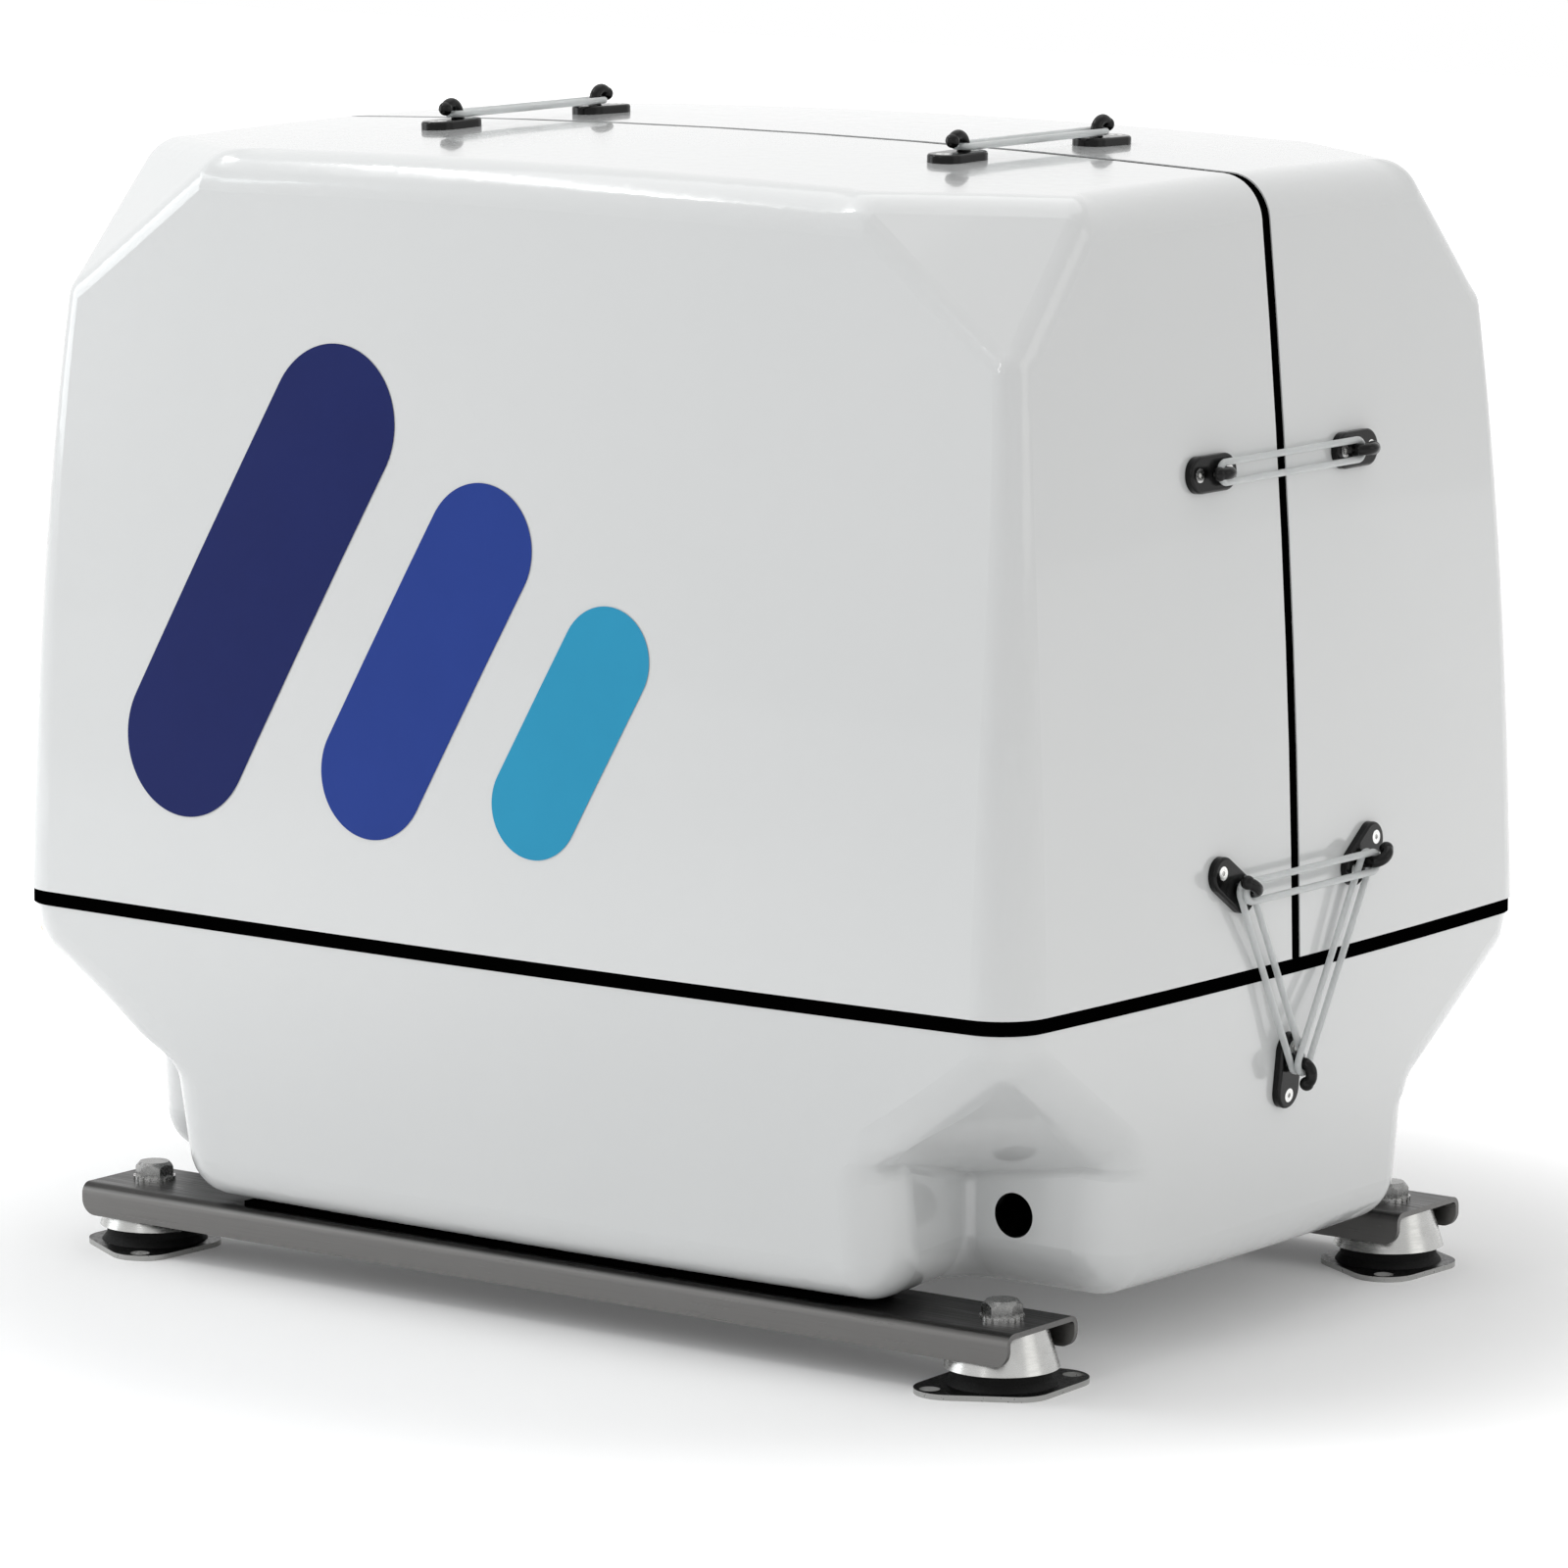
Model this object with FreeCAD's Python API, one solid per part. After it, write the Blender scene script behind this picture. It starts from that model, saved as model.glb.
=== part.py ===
import FreeCAD, Part
import math
import os

# Sound-insulated marine generator set: a white GRP capsule on two channel rails.
# Millimetres. +X along the capsule, -Y towards the decorated front side, +Z up.
# The origin is on the floor under the middle of the capsule.

V = FreeCAD.Vector
UP = V(0, 0, 1)

# Capsule
capsule_length = 702.0
capsule_width = 521.0
capsule_top = 634.5
split_height = 208.7
end_drafts = (1.3, 6.4)
side_drafts = (2.0, 7.2)
end_bow = 9.0
side_bow = 8.0
crown_radius = 6700.0
cross_crown_radius = 5200.0
facet_cut = (130.0, 86.0, 92.0)
corner_radii = (30.0, 15.0)
roof_fillet = 26.0
facet_fillet = 18.0
inner_fillet = 14.0
grp_wall = 5.0
flange_width = 22.0
seal_width = 7.5
seal_inset = 0.6
body_clearance = 0.3
foam_thickness = 18.0
foam_clearance = 1.0
mat_thickness = 12.0

# Base tray
gasket_height = 8.3
gasket_inset = 1.5
gasket_width = 20.0
tray_inset = 2.0
tray_bottom = 40.0
tray_end_draft = 5.0
tray_side_draft = 10.0
tray_corner_radius = 30.0
notch_wall_x = 240.0
notch_lean = 11.0
notch_wall_y = 147.0
notch_ceiling = (101.0, 124.0, 116.0, 195.0)
notch_span_x = 103.0
notch_span_y = 96.0
notch_edge_fillets = (28.0, 6.0)
inner_edge_fillets = (19.0, 13.0)
notch_overrun = 1.6
outlet_radius = 12.0
outlet_x = 270.0
outlet_z = 82.0

# Hooks and elastic bands
hook_plate = (42.0, 20.0, 4.6)
hook_rod_radius = 3.2
hook_bend_radius = 6.0
hook_sweep = 145.0
hook_tip_radius = 3.9
hook_foot_radius = 4.2
hook_screw_offset = 13.5
hook_screw_radius = 1.9
screw_head_radius = 3.8
screw_head_height = 1.9
screw_bite = 4.0
socket_depth = 1.2
socket_across_flats = 2.5
band_radius = 1.9
band_gap = 0.25
top_hook_x = 173.0
top_hook_y = 68.5
end_hook_y = 70.0
end_hook_z = 476.0
low_hook_y = 64.0
low_hook_z = 257.0
low_hook_tilt = 35.0
base_hook_z = 147.0
single_post = 7.4
double_post = 11.6
band_low_height = 7.5
band_high_height = 11.6

# Hose tail through the end wall
barb_y = -207.0
barb_z = 178.5
barb_length = 19.0
barb_tail = 22.0
barb_bore_radius = 2.5
barb_root_radius = 4.0
barb_crest_radius = 5.0
barb_thread_radius = 5.0
barb_nut_across_flats = 13.0
barb_collar_radius = 6.5
barb_seat_depth = 1.0

# Rails and vibration mounts
rail_length = 638.0
rail_width = 65.0
rail_height = 18.0
rail_wall = 3.0
rail_bend = 6.0
rail_corner = 9.0
rail_spacing = 380.0
rail_top = 37.0
pad_inset = 7.0
mount_spacing_x = 586.0
plate_long = 67.0
plate_short = 41.0
plate_corner = 19.0
plate_angle = 61.0
plate_thickness = 3.0
plate_hole_offset = 42.0
plate_hole_radius = 5.5
bell_top_radius = 24.0
bell_base_radius = 31.0
bell_base_height = 12.0
bell_wall = 2.5
rubber_radius = 27.0
bolt_radius = 6.0
bolt_across_flats = 19.0
bolt_head = 8.0
bolt_length = 18.0
washer_radius = 12.0
washer_height = 2.4
washer_teeth = 18

# Inner frame
bearer_size = (400.0, 32.0, 8.0)
isolator_x = 130.0
isolator_radius = 20.0
isolator_height = 35.0
tray_bolt_x = 175.0
tray_bolt_radius = 4.0
foot_thickness = 6.0

# Engine and alternator
crank_height = 205.0
block_x = (-235.0, -5.0)
block_half_width = 92.0
block_z = (125.0, 355.0)
pan_depth = 62.0
head_height = 72.0
rocker_height = 58.0
housing_radius = 138.0
housing_length = 58.0
alternator_radius = 112.0
alternator_length = 200.0
alternator_fins = 28
end_bell_length = 42.0
timing_depth = 24.0
pulley_width = 22.0
crank_pulley_radius = 62.0
pump_pulley_radius = 42.0
groove_depth = 8.0
belt_thickness = 6.5
belt_width = 7.0
crank_nose_radius = 15.0
pump_shaft_radius = 8.0
exchanger_radius = 38.0
pump_y = -128.0
pump_z = 262.0
running_clearance = 0.3
side_relief = 10.0
rib_shares = (0.12, 0.37, 0.63, 0.88)
rib_width = 8.0
lower_block_height = 110.0
deck_height = 30.0
lip_height = 6.0
head_inset = 7.0
head_groove = (5.0, 10.0)
oil_cap_size = (20.0, 18.0)
oil_cap_grips = 8
silencer_size = (160.0, 88.0, 86.0)
silencer_mouth_radius = 20.0
duct_size = (40.0, 32.0)
injection_case = (76.0, 48.0, 59.0)
injection_case_z = 262.0
union_size = (7.0, 14.0)
fuel_bowl_size = (30.0, 80.0)
fuel_bowl_z = 223.0
fuel_crown_size = (33.0, 22.0)
oil_filter_size = (34.0, 72.0)
oil_filter_neck = (24.0, 12.0)
oil_filter_z = 169.0
starter_size = (33.0, 118.0)
coil_size = (17.0, 66.0)
coil_offset = (-30.0, 34.0, 32.0)
manifold_leg_size = (40.0, 34.0)
manifold_flange_size = (56.0, 48.0)
filler_size = (18.0, 14.0)
filler_cap_size = (23.0, 12.0)
elbow_bend = 42.0
elbow_radius = 22.0
elbow_run = 24.0
elbow_tail = 46.0
fin_width = 5.0
belly_half = 28.0
shield_slots = 12
control_size = (160.0, 184.0, 128.0)
control_gap = 14.0
gland_offsets = (-50.0, 0.0, 50.0)
lid_margin = 14.0
lid_thickness = 3.0
saddle_thickness = 6.0
pump_body_size = (32.0, 58.0)
pump_cover_size = (35.0, 5.0)
pump_port_size = (10.0, 52.0)
injector_size = (8.0, 12.0)
foot_half_length = 25.0
foot_overhang = 26.0


def box(x0, x1, y0, y1, z0, z1):
    return Part.makeBox(x1 - x0, y1 - y0, z1 - z0, V(x0, y0, z0))


def rod(start, end, radius):
    axis = end - start
    return Part.makeCylinder(radius, axis.Length, start, axis)


def fuse(shapes):
    solid = shapes[0].fuse(shapes[1:]) if len(shapes) > 1 else shapes[0]
    return solid.removeSplitter()


def group(shapes):
    return Part.makeCompound(shapes)


def round_edges(shape, radius, chosen):
    edges = [edge for edge in shape.Edges if chosen(edge)]
    return shape.makeFillet(radius, edges)


def is_upright(edge):
    low, high = edge.BoundBox.ZMin, edge.BoundBox.ZMax
    return high - low > 0.8 * edge.Length


def is_level_at(edge, height):
    return abs(edge.BoundBox.ZMin - height) < 0.01 and abs(edge.BoundBox.ZMax - height) < 0.01


def mirrored(shape, normal):
    return shape.mirror(V(0, 0, 0), normal)


def four_corners(shape):
    right = [shape, mirrored(shape, V(0, 1, 0))]
    return right + [mirrored(piece, V(1, 0, 0)) for piece in right]


def revolve(points, start, axis):
    # points are (distance along the axis, radius); the profile is closed along its order
    across = axis.cross(V(0.3, 0.5, 0.8)).normalize()
    corners = [start + axis * along + across * radius for along, radius in points]
    face = Part.Face(Part.makePolygon(corners + corners[:1]))
    return face.revolve(start, axis, 360)


def bowed_outline(half_length, half_width, height):
    # four sides bowed outward between four corners
    x, y = half_length - end_bow, half_width - side_bow
    corners = [V(x, -y, height), V(x, y, height), V(-x, y, height), V(-x, -y, height)]
    middles = [V(half_length, 0, height), V(0, half_width, height)]
    middles += [V(-half_length, 0, height), V(0, -half_width, height)]
    sides = [
        Part.Arc(corners[i], middles[i], corners[(i + 1) % 4]).toShape() for i in range(4)
    ]
    return Part.Wire(sides)


# The capsule's outer form

def wall_offset(height, drafts):
    # how far a wall has leaned in at this height: its draft grows steadily up the cover
    rise = height - split_height
    low, high = (math.tan(math.radians(angle)) for angle in drafts)
    return low * rise + (high - low) * rise * rise / (2 * (capsule_top - split_height))


def end_wall_x(height):
    return capsule_length / 2 - wall_offset(height, end_drafts)


def side_wall_y(height):
    return capsule_width / 2 - wall_offset(height, side_drafts)


def crown_block(inset):
    # everything under the roof, which is crowned both ways
    reach_x, reach_y = 0.6 * capsule_length, 0.6 * capsule_width
    drop_x = reach_x * reach_x / (2 * crown_radius)
    arches = []
    for y in (-reach_y, 0, reach_y):
        top = capsule_top - inset - y * y / (2 * cross_crown_radius)
        ends = [V(reach_x, y, top - drop_x), V(-reach_x, y, top - drop_x)]
        arch = Part.Arc(ends[1], V(0, y, top), ends[0]).toShape()
        legs = Part.makePolygon([ends[0], V(reach_x, y, 0), V(-reach_x, y, 0), ends[1]])
        arches.append(Part.Wire([arch] + legs.Edges))
    return Part.makeLoft(arches, True)


def facet_tool(inset):
    # the half-space cut off the roof's corner in +X, -Y
    x, y = end_wall_x(capsule_top), -side_wall_y(capsule_top)
    on_side = V(x - facet_cut[0], y, capsule_top)
    on_end = V(x, y + facet_cut[1], capsule_top)
    below = V(x, y, capsule_top - facet_cut[2])
    normal = (on_end - on_side).cross(below - on_side).normalize()
    if normal.z < 0:
        normal = normal * -1
    size = capsule_length
    tool = Part.makeBox(size, size, size, V(-size / 2, -size / 2, 0))
    tool.Placement = FreeCAD.Placement(
        below - normal * inset, FreeCAD.Rotation(UP, normal)
    ).multiply(tool.Placement)
    return tool


def capsule_form(inset, bottom=split_height):
    levels = [bottom + share * (capsule_top + 40 - bottom) for share in (0, 0.3, 0.6, 0.85, 1)]
    wires = [
        bowed_outline(end_wall_x(z) - inset, side_wall_y(z) - inset, z) for z in levels
    ]
    form = Part.makeLoft(wires, True).common(crown_block(inset))
    for tool in four_corners(facet_tool(inset)):
        form = form.cut(tool)
    if inset > seal_inset:
        return round_edges(form, inner_fillet, lambda edge: not is_level_at(edge, bottom))
    upright = [edge for edge in form.Edges if edge.BoundBox.ZMin < bottom + 1 and is_upright(edge)]
    form = form.makeFillet(corner_radii[0], corner_radii[1], upright)
    form = round_edges(form, facet_fillet, is_facet_edge)
    return round_edges(form, roof_fillet, is_roof_edge)


def is_facet_edge(edge):
    low = edge.BoundBox.ZMin
    return low > capsule_top - facet_cut[2] - 60 and edge.BoundBox.ZLength > 30


def is_roof_edge(edge):
    return edge.BoundBox.ZMin > capsule_top - 60 and edge.BoundBox.ZLength < 15


# The base tray's form

def tray_outline(height, inset):
    fall = split_height - gasket_height - height
    half_length = end_wall_x(split_height) - tray_inset - fall * math.tan(math.radians(tray_end_draft))
    half_width = side_wall_y(split_height) - tray_inset - fall * math.tan(math.radians(tray_side_draft))
    return bowed_outline(half_length - inset, half_width - inset, height)


def notch_tool(inset):
    # the hollow under the tray's +X, -Y corner, which leaves the rail's bolt free; its long wall
    # leans outward toward the front, and its ceiling rises toward both outer faces
    near_in, near_out, far_in, far_out = (z + inset for z in notch_ceiling)
    wall_x, wall_y = notch_wall_x - inset, notch_wall_y - inset
    y_out = -wall_y - notch_overrun * notch_span_y
    wires = []
    for share in (0, notch_overrun):
        x = wall_x + share * notch_span_x
        x_out = x + (notch_overrun - share) * notch_lean
        inner = near_in + share * (far_in - near_in)
        outer = near_out + share * (far_out - near_out)
        rim = inner + (outer - inner) * notch_overrun
        corners = [V(x, -wall_y, 0), V(x_out, y_out, 0), V(x_out, y_out, rim), V(x, -wall_y, inner)]
        wires.append(Part.makePolygon(corners + corners[:1]))
    return Part.makeLoft(wires, True, True)


def tray_form(inset, bottom, top):
    wires = [tray_outline(z, inset) for z in (bottom, (bottom + top) / 2, top)]
    form = Part.makeLoft(wires, True)
    form = round_edges(form, tray_corner_radius - inset, is_upright)
    for tool in four_corners(notch_tool(inset)):
        form = form.cut(tool)
    outward, inward = inner_edge_fillets if inset > 0 else notch_edge_fillets
    form = round_edges(form, inward, lambda edge: is_notch_seam(edge, inset))
    return round_edges(form, outward, lambda edge: is_tray_ridge(edge, inset, bottom, top))


def middle(edge):
    return edge.valueAt((edge.FirstParameter + edge.LastParameter) / 2)


def is_notch_seam(edge, inset):
    # where two walls of a notch meet inward: one upright line and the ceiling's two inner lines
    point = middle(edge)
    on_x = -1 < abs(point.x) - notch_wall_x + inset < notch_lean + 1
    on_y = abs(abs(point.y) - notch_wall_y + inset) < 1
    ceiling = min(notch_ceiling[:3])
    if edge.BoundBox.ZMin < ceiling - 10:
        return on_x and on_y and edge.BoundBox.ZLength > 10
    return (on_x or on_y) and point.z < max(notch_ceiling)


def is_tray_ridge(edge, inset, bottom, top):
    low, high = edge.BoundBox.ZMin, edge.BoundBox.ZMax
    if high > top - 1:
        return False
    if low > bottom + 1:
        point = middle(edge)
        outside = abs(point.x) > notch_wall_x - inset + 20 and abs(point.y) > notch_wall_y - inset + 20
        return outside and edge.Length > 20
    if high < bottom + 1:
        return True
    return edge.BoundBox.ZLength > 0.8 * edge.Length and edge.Length > 30


# Covers

def cover_half():
    # the front half-shell, with a return flange along its foot and along the middle seam
    face_y = -(seal_width / 2 + body_clearance)
    reach = capsule_length
    front_space = box(-reach, reach, -reach, face_y, 0, reach)
    inside = capsule_form(grp_wall).common(
        box(-reach, reach, -reach, face_y - grp_wall, split_height + grp_wall, reach)
    )
    opening = capsule_form(flange_width)
    shell = capsule_form(0).common(front_space).cut(inside).cut(opening)
    return shell.cut(group(both_ends(screw_pilots(front_seats()))))


def foam_half():
    # sound foam on the inside of the front half-shell
    face_y = -(seal_width / 2 + body_clearance + grp_wall + foam_clearance)
    reach = capsule_length
    low = split_height + grp_wall + foam_clearance
    space = box(-reach, reach, -reach, face_y, low, reach)
    return capsule_form(grp_wall).common(space).cut(capsule_form(grp_wall + foam_thickness))


def screw_pilots(seats):
    depth = V(0, 0, screw_bite)
    pilots = []
    for side in (-1, 1):
        foot = V(0, side * hook_screw_offset, 0)
        pilots.append(rod(foot - depth, foot + UP, hook_screw_radius))
    return placed(pilots, seats)


def middle_seal():
    reach = capsule_length
    slab = box(-reach, reach, -seal_width / 2, seal_width / 2, split_height, reach)
    return capsule_form(seal_inset).common(slab).cut(capsule_form(flange_width))


# Base tray

def outline_block(inset, low, high):
    half_length = end_wall_x(split_height) - inset
    half_width = side_wall_y(split_height) - inset
    block = Part.Face(bowed_outline(half_length, half_width, low)).extrude(UP * (high - low))
    return round_edges(block, max(corner_radii[0] - inset, 5), is_upright)


def rim_gasket():
    top = split_height - body_clearance
    low = split_height - gasket_height
    ring = outline_block(gasket_inset, low, top)
    return ring.cut(outline_block(gasket_inset + gasket_width, low, top))


def tray_bolt_points():
    y = rail_spacing / 2
    return [V(x, side * y, 0) for x in (-tray_bolt_x, tray_bolt_x) for side in (-1, 1)]


def base_tray():
    rim = split_height - gasket_height
    tray = tray_form(0, tray_bottom, rim)
    tray = tray.cut(tray_form(grp_wall, tray_bottom + grp_wall, rim - grp_wall))
    tray = tray.cut(outline_block(flange_width, rim - 2 * grp_wall, rim + 1))
    wall = -notch_wall_y
    outlet = rod(V(outlet_x, wall - 1, outlet_z), V(outlet_x, wall + grp_wall + 1, outlet_z), outlet_radius)
    tray = tray.cut(outlet)
    for point in tray_bolt_points():
        hole = point + UP * (tray_bottom - 1)
        tray = tray.cut(rod(hole, hole + UP * (grp_wall + 2), tray_bolt_radius + body_clearance))
    tray = tray.cut(group(both_ends(screw_pilots([base_seat()]))))
    return tray.cut(group(barb_cuts()))


def floor_foam():
    # a foam mat on the tray's floor between the bearers
    half_width = rail_spacing / 2 - bearer_size[1] / 2 - 5
    half_length = notch_wall_x - notch_edge_fillets[0] - pad_inset
    floor = tray_bottom + grp_wall
    mat = box(-half_length, half_length, -half_width, half_width, floor, floor + mat_thickness)
    return round_edges(mat, 12, is_upright)


# Hose barb through the -X end wall

def barb_wall_x():
    fall = split_height - gasket_height - barb_z
    half_length = end_wall_x(split_height) - tray_inset - fall * math.tan(math.radians(tray_end_draft))
    half_width = side_wall_y(split_height) - side_bow
    return -(half_length - end_bow * (barb_y / half_width) ** 2)


def barb_seats():
    # the flat faces cut outside and inside the sloping wall
    x = barb_wall_x()
    outer = V(x + barb_seat_depth, barb_y, barb_z)
    inner = V(x + grp_wall - barb_seat_depth, barb_y, barb_z)
    return outer, inner


def barb_cuts():
    outer, inner = barb_seats()
    reach = V(3 * barb_seat_depth, 0, 0)
    collar = rod(outer - reach, outer, barb_collar_radius + body_clearance)
    nut_radius = barb_nut_across_flats / math.sqrt(3) + body_clearance
    nut = rod(inner, inner + V(barb_tail, 0, 0), nut_radius)
    return [collar, nut, rod(outer - V(1, 0, 0), inner + V(1, 0, 0), barb_thread_radius)]


def hose_barb():
    # a turned tail with two saw-tooth ridges, a collar outside and a nut inside the wall
    outer, inner = barb_seats()
    length, bore = barb_length, barb_bore_radius
    root, crest = barb_root_radius, barb_crest_radius
    step = length / 3
    profile = [(-barb_tail, bore), (length, bore), (length, root - 0.5)]
    for tooth in range(2, 0, -1):
        profile += [(tooth * step + 0.5, crest), (tooth * step, crest), (tooth * step, root)]
    profile += [(3, root), (3, barb_collar_radius), (0, barb_collar_radius), (0, barb_thread_radius)]
    profile += [(-barb_tail, barb_thread_radius)]
    tail = revolve(profile, outer, V(-1, 0, 0))
    nut = hexagon(inner, V(1, 0, 0), barb_nut_across_flats, 5)
    return fuse([tail, nut.cut(rod(outer, inner + V(6, 0, 0), barb_thread_radius))])


def hexagon(start, axis, across_flats, height):
    side = axis.cross(V(0.2, 0.4, 0.9)).normalize()
    radius = across_flats / math.sqrt(3)
    turn = [FreeCAD.Rotation(axis, 60 * i) for i in range(6)]
    corners = [start + rotation.multVec(side) * radius for rotation in turn]
    return Part.Face(Part.makePolygon(corners + corners[:1])).extrude(axis * height)


# Hooks, their screws and the elastic bands

def seat(origin, normal, pull):
    # local +Y is the way the band pulls, local +Z leaves the surface
    normal.normalize()
    across = pull.cross(normal).normalize()
    along = normal.cross(across)
    matrix = FreeCAD.Matrix(
        across.x, along.x, normal.x, origin.x,
        across.y, along.y, normal.y, origin.y,
        across.z, along.z, normal.z, origin.z,
        0, 0, 0, 1,
    )
    return FreeCAD.Placement(matrix)


def end_surface(y, height):
    # a point and its outward normal on the +X end wall of the cover or of the tray
    rim = split_height - gasket_height
    if height > split_height:
        rise = height - split_height
        low, high = (math.tan(math.radians(angle)) for angle in end_drafts)
        slope = low + (high - low) * rise / (capsule_top - split_height)
        x, half_width = end_wall_x(height), side_wall_y(height) - side_bow
    else:
        slope = -math.tan(math.radians(tray_end_draft))
        x = end_wall_x(split_height) - tray_inset + (rim - height) * slope
        half_width = side_wall_y(split_height) - tray_inset - side_bow
    bend = (half_width ** 2 + end_bow ** 2) / (2 * end_bow)
    return V(x - y * y / (2 * bend), y, height), V(1, y / bend, slope)


def roof_surface(x, y):
    height = capsule_top - x * x / (2 * crown_radius) - y * y / (2 * cross_crown_radius)
    return V(x, y, height), V(x / crown_radius, y / cross_crown_radius, 1)


def front_seats():
    # the three hooks of the front cover's +X half
    tilt = math.radians(low_hook_tilt)
    return [
        seat(*roof_surface(top_hook_x, -top_hook_y), V(0, 1, 0)),
        seat(*end_surface(-end_hook_y, end_hook_z), V(0, 1, 0)),
        seat(*end_surface(-low_hook_y, low_hook_z), V(0, math.cos(tilt), -math.sin(tilt))),
    ]


def base_seat():
    return seat(*end_surface(0, base_hook_z), UP * 1)


def hook(post_height):
    # a stadium plate with a bent rod that opens away from the pull and ends in a ball
    length, width, thick = hook_plate
    half = (length - width) / 2
    plate = fuse([
        box(-width / 2, width / 2, -half, half, 0, thick),
        rod(V(0, half, 0), V(0, half, thick), width / 2),
        rod(V(0, -half, 0), V(0, -half, thick), width / 2),
    ])
    plate = round_edges(plate, 1.5, lambda edge: is_level_at(edge, thick))
    for side in (-1, 1):
        foot = V(0, side * hook_screw_offset, 0)
        plate = plate.cut(rod(foot - UP, foot + UP * thick * 2, hook_screw_radius))
        plate = plate.cut(screw_cone(foot + UP * thick))
    bend, radius = hook_bend_radius, hook_rod_radius
    post = rod(V(0, bend, thick / 2), V(0, bend, post_height), radius)
    flare = Part.makeCone(hook_foot_radius, radius, hook_foot_radius - radius, V(0, bend, thick))
    section = Part.Face(Part.Wire(Part.makeCircle(radius, V(0, bend, post_height), UP * 1)))
    arch = section.revolve(V(0, 0, post_height), V(1, 0, 0), hook_sweep)
    swept = math.radians(hook_sweep)
    end = V(0, bend * math.cos(swept), post_height + bend * math.sin(swept))
    return fuse([plate, post, flare, arch, Part.makeSphere(hook_tip_radius, end)])


def cover_hooks():
    # the low hook carries two bands and stands higher than the other two
    single, double = hook(single_post), hook(double_post)
    top, end, low = front_seats()
    return placed([single], [top, end]) + placed([double], [low])


def screw_cone(top):
    # the countersunk head, flush with the plate
    return Part.makeCone(
        hook_screw_radius, screw_head_radius, screw_head_height, top - UP * screw_head_height,
    )


def hook_screws():
    screws = []
    for side in (-1, 1):
        top = V(0, side * hook_screw_offset, hook_plate[2])
        shank = rod(top - UP * (hook_plate[2] + screw_bite), top, hook_screw_radius)
        socket = hexagon(top - UP * socket_depth, UP * 1, socket_across_flats, 2 * socket_depth)
        screws.append(fuse([shank, screw_cone(top)]).cut(socket))
    return screws


def placed(shapes, seats):
    pieces = []
    for where in seats:
        for shape in shapes:
            piece = shape.copy()
            piece.Placement = where.multiply(piece.Placement)
            pieces.append(piece)
    return pieces


def both_ends(pieces):
    return pieces + [mirrored(piece, V(1, 0, 0)) for piece in pieces]


def band(seat_a, height_a, seat_b, height_b):
    # an elastic ring stretched round two hook posts
    start = seat_a.multVec(V(0, hook_bend_radius, height_a))
    end = seat_b.multVec(V(0, hook_bend_radius, height_b))
    normal = seat_a.Rotation.multVec(UP) + seat_b.Rotation.multVec(UP)
    along = (end - start).normalize()
    across = normal.cross(along).normalize()
    radius = hook_rod_radius + band_gap + band_radius
    outward_a, outward_b = start - along * radius, end + along * radius
    left, right = across * radius, across * -radius
    path = Part.Wire([
        Part.LineSegment(start + left, end + left).toShape(),
        Part.Arc(end + left, outward_b, end + right).toShape(),
        Part.LineSegment(end + right, start + right).toShape(),
        Part.Arc(start + right, outward_a, start + left).toShape(),
    ])
    profile = Part.Wire(Part.makeCircle(band_radius, start + left, along))
    return Part.Wire(path).makePipeShell([profile], True, True)


def swapped(where):
    # the same seat mirrored to the other side of the seam
    origin = where.Base
    normal = where.Rotation.multVec(UP)
    pull = where.Rotation.multVec(V(0, 1, 0))
    flip = [V(v.x, -v.y, v.z) for v in (origin, normal, pull)]
    return seat(*flip)


def cross_bands():
    top, end, low = front_seats()
    heights = (band_low_height, band_low_height, band_high_height)
    rings = [
        band(where, height, swapped(where), height)
        for where, height in zip((top, end, low), heights)
    ]
    return both_ends(rings)


def lower_bands():
    low = front_seats()[2]
    front = band(low, band_low_height, base_seat(), band_low_height)
    rear = band(swapped(low), band_low_height, base_seat(), band_high_height)
    return both_ends([front]), both_ends([rear])


# Rails and vibration mounts

def rail():
    y, half = rail_width / 2, rail_length / 2
    low = rail_top - rail_height
    outer = box(-half, half, -y, y, low, rail_top)
    outer = round_edges(outer, rail_bend, lambda edge: is_long_edge(edge, rail_top))
    inner = box(-half, half, -y + rail_wall, y - rail_wall, low, rail_top - rail_wall)
    inner = round_edges(inner, rail_bend - rail_wall, lambda edge: is_long_edge(edge, rail_top - rail_wall))
    channel = outer.cut(inner)
    channel = round_edges(
        channel, rail_corner,
        lambda edge: edge.BoundBox.YLength > rail_wall - 0.1 and is_level_at(edge, low),
    )
    for x in (-mount_spacing_x / 2, mount_spacing_x / 2):
        channel = channel.cut(rod(V(x, 0, low), V(x, 0, rail_top + 1), bolt_radius + body_clearance))
    for x in (-tray_bolt_x, tray_bolt_x):
        channel = channel.cut(rod(V(x, 0, low), V(x, 0, rail_top + 1), tray_bolt_radius + body_clearance))
    channel.translate(V(0, -rail_spacing / 2, 0))
    return channel


def is_long_edge(edge, height):
    return is_level_at(edge, height) and edge.Length > rail_width + 1


def rail_pad():
    # the rubber strip between the tray's foot and the rail
    half = notch_wall_x - notch_edge_fillets[0] - pad_inset
    y = rail_width / 2 - pad_inset
    pad = box(-half, half, -y, y, rail_top, tray_bottom)
    for x in (-tray_bolt_x, tray_bolt_x):
        low, high = V(x, 0, rail_top - 1), V(x, 0, tray_bottom + 1)
        pad = pad.cut(rod(low, high, tray_bolt_radius + body_clearance))
    pad.translate(V(0, -rail_spacing / 2, 0))
    return pad


def mount_place():
    return V(mount_spacing_x / 2, -rail_spacing / 2, 0)


def floor_hole_points():
    angle = math.radians(plate_angle)
    arm = V(math.cos(angle), math.sin(angle), 0) * plate_hole_offset
    return [mount_place() + arm, mount_place() - arm]


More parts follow.
